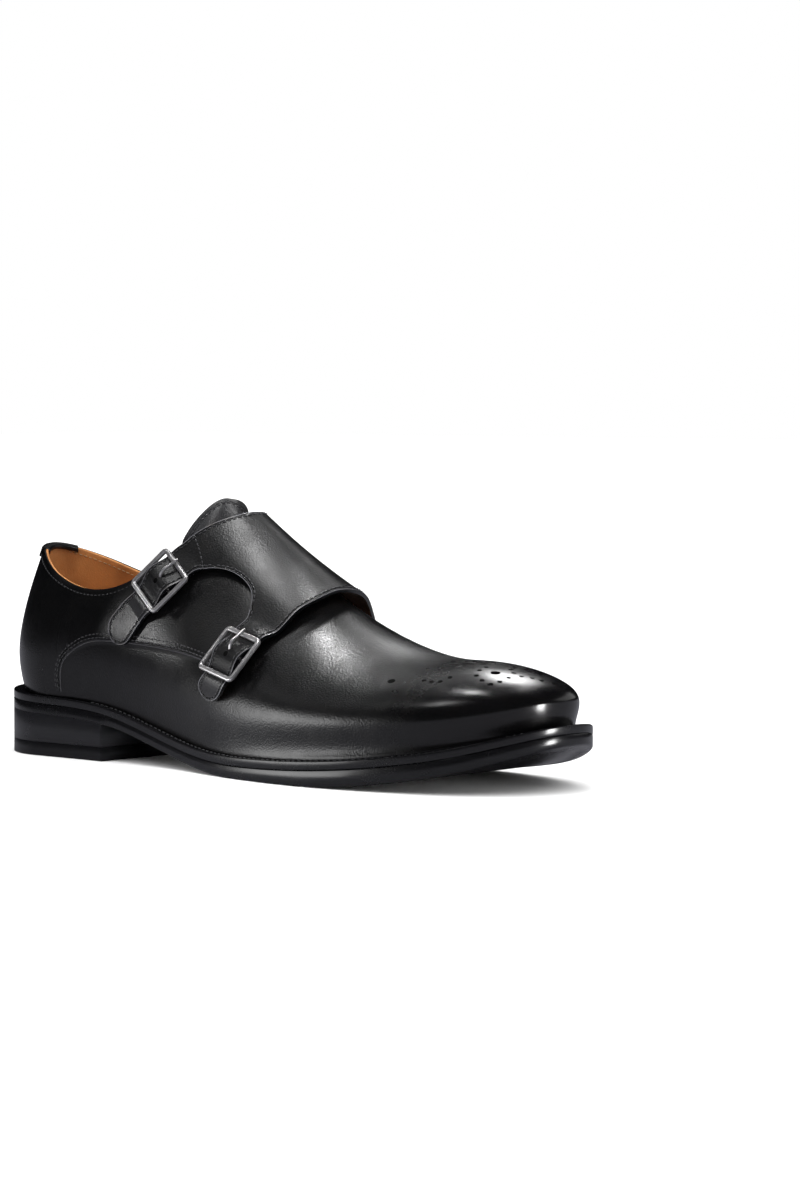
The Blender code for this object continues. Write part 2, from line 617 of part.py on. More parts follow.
def add_flap(finish):
    """Strap flap: one sheet over the instep with two buckle straps round an arched cut-out."""
    body = ruled(edge_run(BODY_REAR, 0, 4, 8), edge_run(BODY_FRONT, 0, 4, 8), 13)
    top = ruled(edge_run(REAR_EDGE, 0, REAR_AT_STRAP, 15), edge_run(FRONT_EDGE, 0, FRONT_AT_STRAP, 15), 13)
    upper_root = ruled(edge_run(REAR_EDGE, REAR_AT_STRAP, REAR_AT_BUCKLE, 4),
                       edge_run(CUT_OUT, CUT_OUT_TOP_START, CUT_OUT_UPPER_BUCKLE, 4), 5)
    upper_strap = round_tip(ruled(edge_run(REAR_EDGE, REAR_AT_BUCKLE, len(REAR_EDGE) - 1, 26),
                                  edge_run(CUT_OUT, CUT_OUT_UPPER_BUCKLE, 0, 26), 5))
    lower_root = ruled(edge_run(CUT_OUT, CUT_OUT_TOP_END, CUT_OUT_LOWER_BUCKLE, 7),
                       edge_run(FRONT_EDGE, FRONT_AT_STRAP, FRONT_AT_BUCKLE, 7), 5)
    lower_strap = round_tip(ruled(edge_run(CUT_OUT, CUT_OUT_LOWER_BUCKLE, len(CUT_OUT) - 1, 22),
                                  edge_run(FRONT_EDGE, FRONT_AT_BUCKLE, len(FRONT_EDGE) - 1, 22), 5))
    arch = edge_run(CUT_OUT, CUT_OUT_TOP_START, CUT_OUT_TOP_END, 5)
    bend = np.concatenate([upper_root[:, 0], arch[1:-1], lower_root[:, 0]]) - top[:, -1]
    top = top + bend[:, None] * smooth(np.linspace(-0.4, 1, 15))[:, None]
    grids = (
        (body, 0, 1), (top, 0, 1), (upper_root, 0, 1 / 3), (upper_strap, 0, 1 / 3),
        (lower_root, 2 / 3, 1), (lower_strap, 2 / 3, 1),
    )
    vertices = []
    faces = []
    for grid, rear_share, front_share in grids:
        x, place = grid[..., 0], grid[..., 1]
        share = np.linspace(rear_share, front_share, len(grid))[:, None]
        crown = smooth((place - 0.35) / 0.4) * smooth((1.85 - place) / 0.4)
        lift = FLAP_LIFT + (FLAP_LIFT_FRONT - FLAP_LIFT) * share**1.3 * crown
        settled = 1 - smooth((place - 0.42) / 0.25)
        lift = lift + (STRAP_LIFT - lift) * settled
        points = last(x, place) + last_normal(x, place) * (lift + FLAP_THICKNESS)[..., None]
        for name, *pose in BUCKLES:
            centre, *axes = buckle_frame(*pose)
            if len(grid) == 5 and np.min(np.linalg.norm(points - centre, axis=-1)) < BUCKLE_WIDTH:
                points = strap_over_buckle(points, centre, *axes)
        faces += grid_faces(len(grid), grid.shape[1], sum(len(part) for part in vertices))
        vertices.append(points.reshape(-1, 3))
    return add_sheet("monk_flap", np.concatenate(vertices), faces, FLAP_THICKNESS, finish)


def add_heel_tab(finish):
    """Strip folded over the top edge at the back seam."""
    steps = np.linspace(1, 0, 6)**1.6
    x = np.concatenate([HEEL_TAB_LATERAL * steps, HEEL_TAB_MEDIAL * steps[-2::-1]])
    middle = len(steps) - 1
    is_medial = np.arange(len(x)) > middle
    edge = np.where(is_medial, OPENING["medial"](x), OPENING["lateral"](x))
    point = last(x, edge)
    lower = last(x, edge + np.where(is_medial, 0.08, -0.08))
    rise = point - lower
    rise = rise / np.linalg.norm(rise, axis=-1, keepdims=True)
    outward = np.cross(rise, np.gradient(point, axis=0))
    outward[middle, 1] = 0
    outward = outward / np.linalg.norm(outward, axis=-1, keepdims=True)
    outer = HEEL_TAB_THICKNESS + GAP
    inner = WALL + GAP
    section = (
        (GAP, -HEEL_TAB_DROP), (GAP, GAP), (-inner, GAP), (-inner, -HEEL_TAB_DROP),
        (-inner - HEEL_TAB_THICKNESS, -HEEL_TAB_DROP), (-inner - HEEL_TAB_THICKNESS, outer / 2),
        (-inner, outer), (GAP, outer), (outer, outer / 2), (outer, -HEEL_TAB_DROP),
    )
    rings = np.stack([point + outward * across + rise * up for across, up in section])
    count = len(x)
    faces = grid_faces(len(section), count)
    last_row = (len(section) - 1) * count
    for c in range(count - 1):
        faces.append((last_row + c, last_row + c + 1, c + 1, c))
    faces.append(tuple(r * count for r in range(len(section))))
    faces.append(tuple(r * count + count - 1 for r in range(len(section))))
    return add_object("heel_tab", rings, faces, finish)


def place_in_frame(made, centre, along, across, normal):
    """Turn an object modelled along X, across Y and up Z into a buckle's axes."""
    turn = Matrix([[float(along[i]), float(across[i]), float(normal[i])] for i in range(3)])
    made.rotation_euler = turn.to_euler()
    made.location = Vector([float(v) * MM for v in centre - ORIGIN])


def rounded_rectangle(length, width, corner, steps):
    """Points and outward directions round a rounded rectangle centred on the origin."""
    points = []
    directions = []
    for quarter in range(4):
        for k in range(steps + 1):
            angle = (quarter + k / steps) * np.pi / 2
            direction = np.array([np.cos(angle), np.sin(angle)])
            sign = np.sign([np.cos(quarter * np.pi / 2 + np.pi / 4), np.sin(quarter * np.pi / 2 + np.pi / 4)])
            centre = sign * (np.array([length, width]) / 2 - corner)
            points.append(centre + direction * corner)
            directions.append(direction)
    return np.array(points), np.array(directions)


def add_tube(name, path, side, radius, finish):
    """Round bar along a path whose bends all lie across the given side direction."""
    path = np.array(path, float)
    along = np.gradient(path, axis=0)
    along = along / np.linalg.norm(along, axis=-1, keepdims=True)
    side = np.array(side, float)
    raised = np.cross(along, side)
    angles = np.linspace(0, 2 * np.pi, 10, endpoint=False)[None, :, None]
    around = side * np.cos(angles) + raised[:, None, :] * np.sin(angles)
    rings = path[:, None, :] + around * radius
    faces = grid_faces(len(path), 10, closed=True)
    faces += [tuple(range(10)), tuple(range(10 * len(path) - 10, 10 * len(path)))]
    return add_object(name, rings, faces, finish, is_local=True)


def add_buckle(name, pose, metal, leather):
    """Frame with its centre bar, the prong, and the leather loop that ties the bar to the quarter."""
    axes = buckle_frame(*pose)
    bar_width, bar_height = BUCKLE_BAR
    path, outward = rounded_rectangle(BUCKLE_LENGTH - bar_width, BUCKLE_WIDTH - bar_width,
                                      BUCKLE_CORNER - bar_width / 2, 4)
    rings = []
    for k in range(9):
        angle = (k + 0.5) * np.pi / 4
        aside = bar_width / 2 * np.cos(angle) / np.cos(np.pi / 8)
        up = bar_height / 2 * np.sin(angle) / np.cos(np.pi / 8)
        rings.append(np.column_stack([path + outward * aside, np.full(len(path), up)]))
    frame = add_object("buckle_frame_" + name, rings, grid_faces(9, len(path), closed=True),
                       metal, is_local=True)
    place_in_frame(frame, *axes)

    reach = (BUCKLE_WIDTH - bar_width) / 2
    drop = CENTRE_BAR_DROP
    half = ((0, reach, 0), (0, reach - 0.9, -0.15 * drop), (0, reach - 1.6, -0.8 * drop),
            (0, reach - 2.6, -drop))
    route = list(half) + [(x, -y, z) for x, y, z in reversed(half)]
    bar = add_tube("centre_bar_" + name, route, (1, 0, 0), CENTRE_BAR_RADIUS, metal)
    place_in_frame(bar, *axes)
    bar.hide_render = True
    bar.display_type = "WIRE"
    join = frame.modifiers.new("centre bar", "BOOLEAN")
    join.operation = "UNION"
    join.solver = "EXACT"
    join.object = bar

    over = bar_height / 2 + GAP + PRONG_RADIUS
    end = BUCKLE_LENGTH / 2
    route = ((-0.45 * end, 0, over - 0.3), (-0.6 * end, 0, over), (-0.8 * end, 0, over + 0.1),
             (-end, 0, over + 0.05), (-end - 0.7, 0, over - 0.1))
    prong = add_tube("buckle_prong_" + name, route, (0, 1, 0), PRONG_RADIUS, metal)
    place_in_frame(prong, *axes)

    turn = CENTRE_BAR_RADIUS + GAP + TAB_THICKNESS / 2
    angles = np.linspace(-0.5, 0.5, 7) * np.pi
    ply = [(0.40 * end, -drop - turn - 0.7), (0.22 * end, -drop - turn - 0.2)]
    ply += [(-turn * np.cos(a), turn * np.sin(a) - drop) for a in angles]
    ply += [(0.12 * end, turn * 0.8 - drop), (0.3 * end, -drop - 0.1)]
    ply = np.array(ply)
    rows = [np.column_stack([ply[:, 0], np.full(len(ply), y), ply[:, 1]]) for y in (-TAB_WIDTH / 2, TAB_WIDTH / 2)]
    tab = add_object("buckle_tab_" + name, rows, grid_faces(2, len(ply)), leather, is_local=True)
    place_in_frame(tab, *axes)
    solid = tab.modifiers.new("thickness", "SOLIDIFY")
    solid.thickness = TAB_THICKNESS * MM
    solid.offset = 0
    return frame


# ---- build -----------------------------------------------------------------------------------
def build():
    """Empty the file and model every piece of the shoe."""
    for old in list(bpy.data.objects):
        bpy.data.objects.remove(old, do_unlink=True)
    calf = material("black calf", (0.012, 0.012, 0.014), 0.34)
    vamp = material("black calf, vamp and quarters", (0.014, 0.014, 0.016), 0.32)
    strap = material("black calf, straps", (0.013, 0.013, 0.015), 0.36)
    edge = material("blackened sole edge", (0.016, 0.016, 0.018), 0.28)
    under = material("black leather outsole", (0.018, 0.018, 0.020), 0.34)
    block = material("blackened heel stack", (0.020, 0.020, 0.023), 0.32)
    rubber = material("black rubber", (0.022, 0.022, 0.024), 0.62)
    lining = material("tan lining leather", (0.42, 0.22, 0.09), 0.55)
    metal = material("dark nickel", (0.42, 0.42, 0.44), 0.18, 1.0)

    add_sole_layer("outsole", sole_bottom, outsole_top, under)
    add_sole_layer("welt", welt_bottom, sole_top, edge)
    add_heel_layer("heel_top_piece", lambda x: 0 * x, lambda x: 0 * x + TOP_PIECE_HEIGHT, rubber)
    add_heel_layer("heel_block", lambda x: 0 * x + TOP_PIECE_HEIGHT + GAP, heel_top, block)
    add_upper(vamp)
    add_insole(lining)
    add_tongue(calf)
    add_flap(strap)
    add_heel_tab(calf)
    for name, *pose in BUCKLES:
        add_buckle(name, pose, metal, calf)


build()
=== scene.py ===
"""Double monk strap shoe for the right foot, dressed in black calf with a tan lining.

+X runs from heel to toe, +Y towards the inner (medial) side, +Z up.  Shapes are worked out in
millimetres from the back of the heel at floor level and moved to the frame, in metres, as each
piece is made.  A place on the upper is a section x and a girth number: -1 lateral feather line,
0 lateral girth line, 1 top ridge, 2 medial girth line, 3 medial feather line.
"""

import bmesh
import bpy
import numpy as np
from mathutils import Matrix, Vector


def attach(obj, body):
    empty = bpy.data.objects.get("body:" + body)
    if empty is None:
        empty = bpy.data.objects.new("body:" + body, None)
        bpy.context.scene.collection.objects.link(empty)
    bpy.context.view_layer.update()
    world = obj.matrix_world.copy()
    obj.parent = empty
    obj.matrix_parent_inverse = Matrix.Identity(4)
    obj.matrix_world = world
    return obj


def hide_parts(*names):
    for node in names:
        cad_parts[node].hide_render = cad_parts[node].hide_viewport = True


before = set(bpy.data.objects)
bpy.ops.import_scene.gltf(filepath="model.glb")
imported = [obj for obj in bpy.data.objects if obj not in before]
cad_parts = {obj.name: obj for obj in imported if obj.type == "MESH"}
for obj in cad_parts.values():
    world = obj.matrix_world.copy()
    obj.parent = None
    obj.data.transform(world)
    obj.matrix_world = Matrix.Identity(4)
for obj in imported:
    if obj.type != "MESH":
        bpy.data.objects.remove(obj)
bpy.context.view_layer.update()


# ---- outsole and welt ------------------------------------------------------------------------
# A leather outsole under a leather welt, each about 4 mm thick at the edge.  Both edges are
# trimmed together, inked black and burnished smooth; the joint shows as one fine groove, and
# the welt's top edge is set up into a thin rim by the edge iron.
MM = 0.001
LENGTH = 304.0
HEEL_RADIUS = 34.0          # rounding of the outline at the heel
TOE_ROUNDING = 49.0         # length over which the outline closes at the toe
TOE_POWER = 2.3
SOLE_LIFT = 0.4             # the underside is worn flat by this much under the ball
WELT_THICKNESS = 3.7
HEEL_LENGTH = 75.5
GAP = 0.3                   # between the welt and the upper's wall
SOLE_ROWS = (               # x, lateral half width, medial, height of the underside, thickness
    (0, 32.5, 33.5, 20.4, 7.7), (40, 33.5, 34.0, 18.6, 7.7), (75, 34.2, 32.5, 16.2, 7.7),
    (100, 36.4, 30.5, 11.2, 7.5), (125, 40.3, 31.5, 5.2, 7.7), (150, 46.2, 36.0, 1.2, 8.4),
    (175, 51.4, 43.5, 0.0, 9.2), (200, 54.0, 49.5, 0.2, 9.8), (225, 52.8, 50.5, 1.5, 10.2),
    (250, 48.4, 47.0, 4.4, 10.1), (275, 42.2, 41.0, 9.2, 9.7), (304, 35.5, 34.5, 19.6, 7.9),
)


def spline(knots, values):
    """Natural cubic spline through the values at the knots."""
    knots, values = np.asarray(knots, float), np.asarray(values, float)
    gaps = np.diff(knots)
    slopes = np.diff(values) / gaps
    system, target = np.eye(len(knots)), np.zeros(len(knots))
    for i in range(1, len(knots) - 1):
        system[i, i - 1:i + 2] = gaps[i - 1], 2 * (gaps[i - 1] + gaps[i]), gaps[i]
        target[i] = 6 * (slopes[i] - slopes[i - 1])
    bends = np.linalg.solve(system, target)

    def curve(x):
        """The spline at x, from the two values and the two bends beside it."""
        i = np.clip(np.searchsorted(knots, x) - 1, 0, len(gaps) - 1)
        a = (knots[i + 1] - x) / gaps[i]
        b = 1 - a
        swell = ((a**3 - a) * bends[i] + (b**3 - b) * bends[i + 1]) * gaps[i]**2 / 6
        return a * values[i] + b * values[i + 1] + swell
    return curve


def table_curves(rows):
    """A spline over the first column for each further column of a table."""
    x, *columns = np.array(rows, float).T
    return [spline(x, column) for column in columns]


half_lateral, half_medial, underside, edge_thickness = table_curves(SOLE_ROWS)


def smooth(t):
    """Smooth step from 0 to 1 as t runs from 0 to 1."""
    t = np.clip(t, 0, 1)
    return t * t * (3 - 2 * t)


def heel_rounding(x):
    """Factor that closes an outline at the heel: a quarter ellipse."""
    return np.sqrt(1 - np.clip((HEEL_RADIUS - x) / HEEL_RADIUS, 0, 1)**2)


def toe_rounding(x, rounding=TOE_ROUNDING, power=TOE_POWER, soft=0.1):
    """Factor that closes an outline over the last stretch before the toe, eased in softly."""
    t = np.clip(1 + (x - LENGTH) * (1 - soft) / rounding, 0, 1)
    t = (t - soft * (1 - np.exp(-t / soft))) / (1 - soft * (1 - np.exp(-1 / soft)))
    return np.maximum(1 - t**power, 0)**(1 / power)


def sole_bottom(x):
    """Height of the outsole's underside, flat on the floor under the ball."""
    return np.maximum(underside(x) - SOLE_LIFT, 0)


def sole_top(x):
    """Height of the welt's upper face."""
    return underside(x) + edge_thickness(x)


def welt_bottom(x):
    """Underside of the welt layer."""
    return sole_top(x) - WELT_THICKNESS


plan = np.linspace(0, LENGTH, 400)
widest_lateral, widest_medial = (np.max(half(plan) * heel_rounding(plan) * toe_rounding(plan))
                                 for half in (half_lateral, half_medial))
ORIGIN = np.array([LENGTH / 2, (widest_medial - widest_lateral) / 2, 0.0])


def grid_faces(rows, columns, closed=False, looped=False, first=0):
    """Quads of a grid of points kept row by row.

    closed joins its last column to its first, and looped its last row to its first.
    """
    c = np.arange(columns if closed else columns - 1)
    r = np.arange(rows if looped else rows - 1)[:, None]
    d, s = (c + 1) % columns, (r + 1) % rows
    quads = np.stack([r * columns + c, r * columns + d, s * columns + d, s * columns + c], axis=-1)
    return first + quads.reshape(-1, 4)


def put_in_scene(name, data):
    """New object holding a mesh, light or camera."""
    made = bpy.data.objects.new(name, data)
    bpy.context.collection.objects.link(made)
    return made


def add_piece(name, points, faces, finishes, in_cad=True, core=None, facts=None):
    """Object from millimetre points, welded, faces outwards, riding on the shoe.

    core is a point that an open sheet faces away from, and facts are named values for each
    point that its material reads.
    """
    points = np.reshape(points, (-1, 3))
    mesh = bpy.data.meshes.new(name)
    mesh.from_pydata(((points - ORIGIN) * MM).tolist(), [], [list(face) for face in faces])
    for fact, values in (facts or {}).items():
        mesh.attributes.new(fact, "FLOAT", "POINT").data.foreach_set("value", np.ravel(values))
    work = bmesh.new()
    work.from_mesh(mesh)
    bmesh.ops.remove_doubles(work, verts=work.verts, dist=0.002 * MM)
    bmesh.ops.recalc_face_normals(work, faces=work.faces)
    if core is not None:
        inside = Vector((np.array(core) - ORIGIN) * MM)
        away = sum(f.normal.dot(f.calc_center_median() - inside) * f.calc_area()
                   for f in work.faces)
        if away < 0:
            bmesh.ops.reverse_faces(work, faces=work.faces)
    work.to_mesh(mesh)
    work.free()
    mesh.shade_smooth()
    for finish in finishes:
        mesh.materials.append(finish)
    made = put_in_scene(name, mesh)
    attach(made, "root")
    if in_cad:
        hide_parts(name)
    return made


def node(tree, kind, settings=None, **inputs):
    """Shader node with its settings and its inputs, each a value or another node's output."""
    made = tree.nodes.new("ShaderNode" + kind)
    for key, value in (settings or {}).items():
        setattr(made, key, value)
    for key, value in inputs.items():
        entry = made.inputs[int(key[2:]) if key.startswith("n_") else key.replace("_", " ")]
        if isinstance(value, bpy.types.NodeSocket):
            tree.links.new(value, entry)
        else:
            entry.default_value = value
    return made


def maths(tree, operation, a, b=0.5, c=0.5):
    """Output of a maths node."""
    return node(tree, "Math", {"operation": operation}, n_0=a, n_1=b, n_2=c).outputs[0]


def times(tree, a, b, plus=0.0):
    """Product of two values, plus a third."""
    return maths(tree, "MULTIPLY_ADD", a, b, plus)


def ramp(tree, value, low, high, start=0.0, end=1.0):
    """Output of a smooth map range node from low..high to start..end."""
    return node(tree, "MapRange", {"interpolation_type": "SMOOTHSTEP"}, Value=value,
                From_Min=low, From_Max=high, To_Min=start, To_Max=end).outputs["Result"]


def blend_colours(tree, share, first, second):
    """Output of a colour mix node."""
    first, second = ((*shade, 1.0) if isinstance(shade, tuple) else shade
                     for shade in (first, second))
    return node(tree, "Mix", {"data_type": "RGBA"}, n_0=share, n_6=first, n_7=second).outputs[2]


def tinted(tree, first, second):
    """Product of two colours."""
    return node(tree, "VectorMath", {"operation": "MULTIPLY"}, n_0=first, n_1=second).outputs[0]


def noise(tree, place, scale, detail, **more):
    """Value of a noise texture."""
    return node(tree, "TexNoise", Vector=place, Scale=scale, Detail=detail, **more).outputs[0]


def millimetres(tree, stretch=(1, 1, 1)):
    """Object coordinates in millimetres, stretched by a factor along each axis."""
    place = node(tree, "TexCoord").outputs["Object"]
    return node(tree, "Mapping", Vector=place, Scale=[s / MM for s in stretch]).outputs["Vector"]


def effect_group(name, **inputs):
    """New shader node group for a finish; returns it and the sockets of its settings."""
    group = bpy.data.node_groups.new(name, "ShaderNodeTree")
    results = {"Colour": "Color", "Roughness": "Float", "Height": "Float"}
    for kinds, way in ((inputs, "INPUT"), (results, "OUTPUT")):
        for socket, kind in kinds.items():
            group.interface.new_socket(socket.replace("_", " "), in_out=way,
                                       socket_type="NodeSocket" + kind)
    return group, group.nodes.new("NodeGroupInput").outputs


def finish_group(group, *results):
    """Send a group's colour, roughness and height (in millimetres) out of it."""
    for entry, value in zip(group.nodes.new("NodeGroupOutput").inputs, results):
        group.links.new(value, entry)
    return group


def finish_material(name, group, specular=0.5, metallic=0.0, facts=(), **settings):
    """Principled material fed by an effect group; facts are settings that the piece stores."""
    made = bpy.data.materials.new(name)
    made.use_nodes = True
    tree = made.node_tree
    shader = tree.nodes["Principled BSDF"]
    effect = tree.nodes.new("ShaderNodeGroup")
    effect.node_tree = group
    for key, value in settings.items():
        effect.inputs[key.replace("_", " ")].default_value = value
    for fact in facts:
        stored = node(tree, "Attribute", {"attribute_name": fact.lower()}).outputs["Fac"]
        tree.links.new(stored, effect.inputs[fact])
    tree.links.new(effect.outputs["Colour"], shader.inputs["Base Color"])
    tree.links.new(effect.outputs["Roughness"], shader.inputs["Roughness"])
    bump = node(tree, "Bump", Strength=1.0, Distance=MM, Height=effect.outputs["Height"])
    tree.links.new(bump.outputs["Normal"], shader.inputs["Normal"])
    shader.inputs["Specular IOR Level"].default_value = specular
    shader.inputs["Metallic"].default_value = metallic
    return made


def burnished_edge_group():
    """Inked and ironed leather edge: faint lines along it, soft waxy patches, small nicks."""
    group, given = effect_group("burnished_edge", Shade="Float", Gloss="Float")
    layers = noise(group, millimetres(group, (0.02, 0.02, 2.2)), 1.0, 3.0)
    waxy = noise(group, millimetres(group), 0.06, 3.0)
    nicks = noise(group, millimetres(group), 1.1, 4.0)
    shade = times(group, ramp(group, layers, 0.3, 0.7, 0.8, 1.25), given["Shade"])
    tint = node(group, "CombineColor", Red=shade, Green=shade, Blue=times(group, shade, 1.2))
    rough = maths(group, "ADD", given["Gloss"], ramp(group, waxy, 0.35, 0.7, -0.03, 0.04))
    rough = maths(group, "ADD", rough, ramp(group, nicks, 0.4, 0.8, -0.01, 0.03))
    height = times(group, nicks, 0.004, plus=times(group, layers, 0.012))
    return finish_group(group, tint.outputs[0], rough, height)


burnished = burnished_edge_group()
edge_ink = finish_material("inked sole edge", burnished, Shade=0.003, Gloss=0.24)


def add_layer(name, profile, slot, finish, length=LENGTH, sweep=np.pi, count=220):
    """Layer of the sole or heel swept round the outline, closed above and below.

    profile has rows of inset, base height and offset.  Sections follow a cosine over the sweep:
    pi brings them to a point at the front, half of it leaves a straight breast there.
    """
    x = length * (1 - np.cos(np.linspace(0, sweep, count))) / (1 - np.cos(sweep))
    closing = heel_rounding(x) * toe_rounding(x)
    rings = []
    for inset, base, offset in profile:
        if base is sole_bottom and inset < 1:       # flush with the heel under the seat
            inset = inset * smooth((x - HEEL_LENGTH) / 3)
        moved = inset + x * (length - 2 * inset) / length
        lateral, medial = (np.stack([moved, side * np.maximum(half(x) - inset, 0) * closing,
                                     base(moved) + offset], axis=-1)
                           for side, half in ((-1, half_lateral), (1, half_medial)))
        rings.append(np.concatenate([lateral, medial[-2 if sweep == np.pi else -1:0:-1]]))
    around = len(rings[0])
    faces = grid_faces(len(rings), around, closed=True).tolist()
    i = np.arange(count - 1)
    for first in (0, (len(rings) - 1) * around):
        quads = first + np.stack([i, i + 1, around - 1 - i, (around - i) % around], axis=-1)
        faces += [list(dict.fromkeys(quad)) for quad in quads.tolist()]
    add_piece(name, np.concatenate(rings), faces, [finish])


add_layer("outsole", (
    (9.0, sole_bottom, 0.25), (4.2, sole_bottom, 0.25), (3.9, sole_bottom, 0.0),
    (1.4, sole_bottom, 0.0), (0.6, sole_bottom, 0.06), (0.2, sole_bottom, 0.25),
    (0.0, sole_bottom, 0.6), (0.0, welt_bottom, -0.45), (0.12, welt_bottom, -0.22),
    (0.4, welt_bottom, -0.1), (0.8, welt_bottom, -0.05),
    (6.0, welt_bottom, -0.05)), "outsole_leather", edge_ink)
add_layer("welt", (
    (6.0, welt_bottom, -0.04), (0.75, welt_bottom, -0.03), (0.35, welt_bottom, 0.05),
    (0.1, welt_bottom, 0.18), (0.0, welt_bottom, 0.4), (0.0, sole_top, -0.75),
    (0.06, sole_top, -0.32), (0.28, sole_top, -0.04), (0.55, sole_top, 0.0),
    (0.85, sole_top, -0.1), (1.1, sole_top, -0.32), (1.5, sole_top, -0.38),
    (9.0, sole_top, -0.3)), "sole_edge", edge_ink)


# ---- heel ------------------------------------------------------------------------------------
# Stacked leather lifts with a rubber top piece nailed on, scoured and inked as one block, so
# the lifts are only faint lines.  The breast at the front is cut straight.
TOP_PIECE_HEIGHT = 6.0
HEEL_FINISHES = {
    "heel_block": ("heel_stack", finish_material(
        "inked heel stack", burnished, Shade=0.008, Gloss=0.30)),
    "heel_top_piece": ("heel_rubber", finish_material(
        "black rubber", burnished, specular=0.45, Shade=0.004, Gloss=0.32)),
}
for name, bottom, top in (
        ("heel_block", lambda x: 0 * x + TOP_PIECE_HEIGHT + 0.01, lambda x: sole_bottom(x) - 0.01),
        ("heel_top_piece", lambda x: 0 * x, lambda x: 0 * x + TOP_PIECE_HEIGHT - 0.01)):
    add_layer(name, ((4.0, bottom, 0.0), (0.3, bottom, 0.0), (0.08, bottom, 0.06),
                     (0.0, bottom, 0.2), (0.0, top, -0.06), (0.03, top, -0.01),
                     (0.08, top, 0.0), (4.0, top, 0.0)),
              *HEEL_FINISHES[name], length=HEEL_LENGTH, sweep=np.pi / 2, count=90)


# ---- upper -----------------------------------------------------------------------------------
# Vamp and quarters of black box calf pulled over the last: the quarters overlap the vamp in one
# long raised seam on each side, and the collar's edge is folded to a thin black bead.  The toe
# and the counter are wax polished, the vamp and quarters keep a fine pebble grain.
WALL = 2.2
FEATHER_START, FEATHER_END = 6.0, 296.3     # ends of the upper where it meets the welt
GIRTH_START, GIRTH_END = 3.0, 298.2         # and at its fullest
UPPER_TOE_ROUNDING = 44.0
TOE_BOX_LENGTH, TOE_BOX_POWER = 52.0, 1.7
HEEL_LEAN, LEAN_HEIGHT = 8.8, 46.0
THROAT_FRONT = 172.0
SEAM_STEP, SEAM_FADE = 0.9, 9.0             # height of the quarters' edge, and how it thins back
SEAM_START, SEAM_END = 45, 181              # sections between which the rows follow the edge
SEAM_FOOT, SEAM_HEAD = 43, 176              # where its step comes in and is gone
TOE_POLISH_START, TOE_POLISH_RUN = 232, 34
COUNTER_POLISH_END, COUNTER_POLISH_RUN = 50, 26
COUNTER_POLISH_TOP, COUNTER_POLISH_FADE = 56, 20
GIRTH_ARC = 45.0                            # millimetres to one girth number, about
UNDER_GIRTH, OVER_GIRTH = 19.0, 78.0        # and just under and just over the girth line
NO_EDGE = 9.0                               # distance that stands for no cut edge near
LAST_ROWS = (               # x, inset, bulge lateral, bulge medial, girth, ridge, shift, square
    (0, 2.0, 0.8, 0.8, 16, 117, 0.0, -0.25), (40, 2.0, 1.0, 1.2, 18, 118, 0.5, -0.25),
    (80, 2.5, 1.4, 2.5, 20, 119, 1.5, -0.25), (110, 3.0, 1.7, 4.5, 21, 115.5, 2.5, -0.27),
    (140, 3.5, 1.5, 5.0, 19, 98.4, 3.0, -0.30), (170, 4.0, 1.2, 3.0, 17, 78.4, 4.0, -0.26),
    (200, 4.5, 0.8, 1.5, 15.5, 60.5, 5.0, -0.12), (230, 4.5, 0.5, 1.0, 14, 50.8, 6.0, -0.02),
    (260, 4.5, 0.4, 0.5, 12.5, 50, 6.5, 0.0), (304, 4.5, 0.4, 0.5, 10.5, 54, 6.0, 0.0),
)
OPENING_ROWS = (            # x, lateral place, medial place
    (0, 0.51, 1.49), (10, 0.48, 1.53), (20, 0.437, 1.57), (40, 0.352, 1.64), (60, 0.313, 1.665),
    (75, 0.338, 1.64), (90, 0.42, 1.53), (103, 0.52, 1.42), (120, 0.66, 1.35), (145, 0.85, 1.20),
    (172, 1.00, 1.00),
)
SEAM_ROWS = (               # x, place of the quarters' edge over the vamp
    (45, -0.90), (46.5, -0.46), (49.5, -0.13), (55, 0.02), (62, 0.06), (76, 0.09), (92, 0.11),
    (113, 0.15), (138, 0.21), (155, 0.24), (162, 0.28), (166, 0.38), (170, 0.50), (174, 0.62),
)
CREASES = (                 # start x and place, end x and place, half width, depth
    (205, 0.30, 217, 1.25, 2.6, 0.10), (213, 0.20, 226, 0.80, 2.2, 0.06),
    (199, 1.05, 209, 1.75, 2.4, 0.12),
)
(inset_of, bulge_lateral, bulge_medial, girth_of, ridge_of, shift_of,
 square_of) = table_curves(LAST_ROWS)
opening_lateral, opening_medial = table_curves(OPENING_ROWS)


def rise_of(place):
    """Millimetres over the girth line, about, at a place near it."""
    return place * np.where(place < 0, UNDER_GIRTH, OVER_GIRTH)


def place_of(rise):
    """Place at a rise over the girth line."""
    return rise / np.where(rise < 0, UNDER_GIRTH, OVER_GIRTH)


def run_of(points):
    """Length along a line of points, from its start to each of them."""
    return np.concatenate([[0], np.cumsum(np.linalg.norm(np.diff(points, axis=0), axis=-1))])


def smooth_line(points, knots, run):
    """Points at each run along a smooth line that passes its listed points at the knots."""
    return np.stack([spline(knots, column)(run) for column in np.transpose(points)], axis=-1)


seam_x, seam_y = np.array(SEAM_ROWS, float).T
seam_points = np.stack([seam_x, rise_of(seam_y)], axis=-1)
seam_run = run_of(seam_points)
seam_x, seam_y = smooth_line(seam_points, seam_run, np.linspace(0, seam_run[-1], 400)).T
seam_y = place_of(seam_y)


def seam_start(x):
    """Factor that lets the seam's step in over its first 3 mm."""
    return smooth((x - SEAM_FOOT) / 3)


def upper_closing(x):
    """Factor that closes the upper's sections at the heel and the toe."""
    return heel_rounding(x) * toe_rounding(x, UPPER_TOE_ROUNDING)


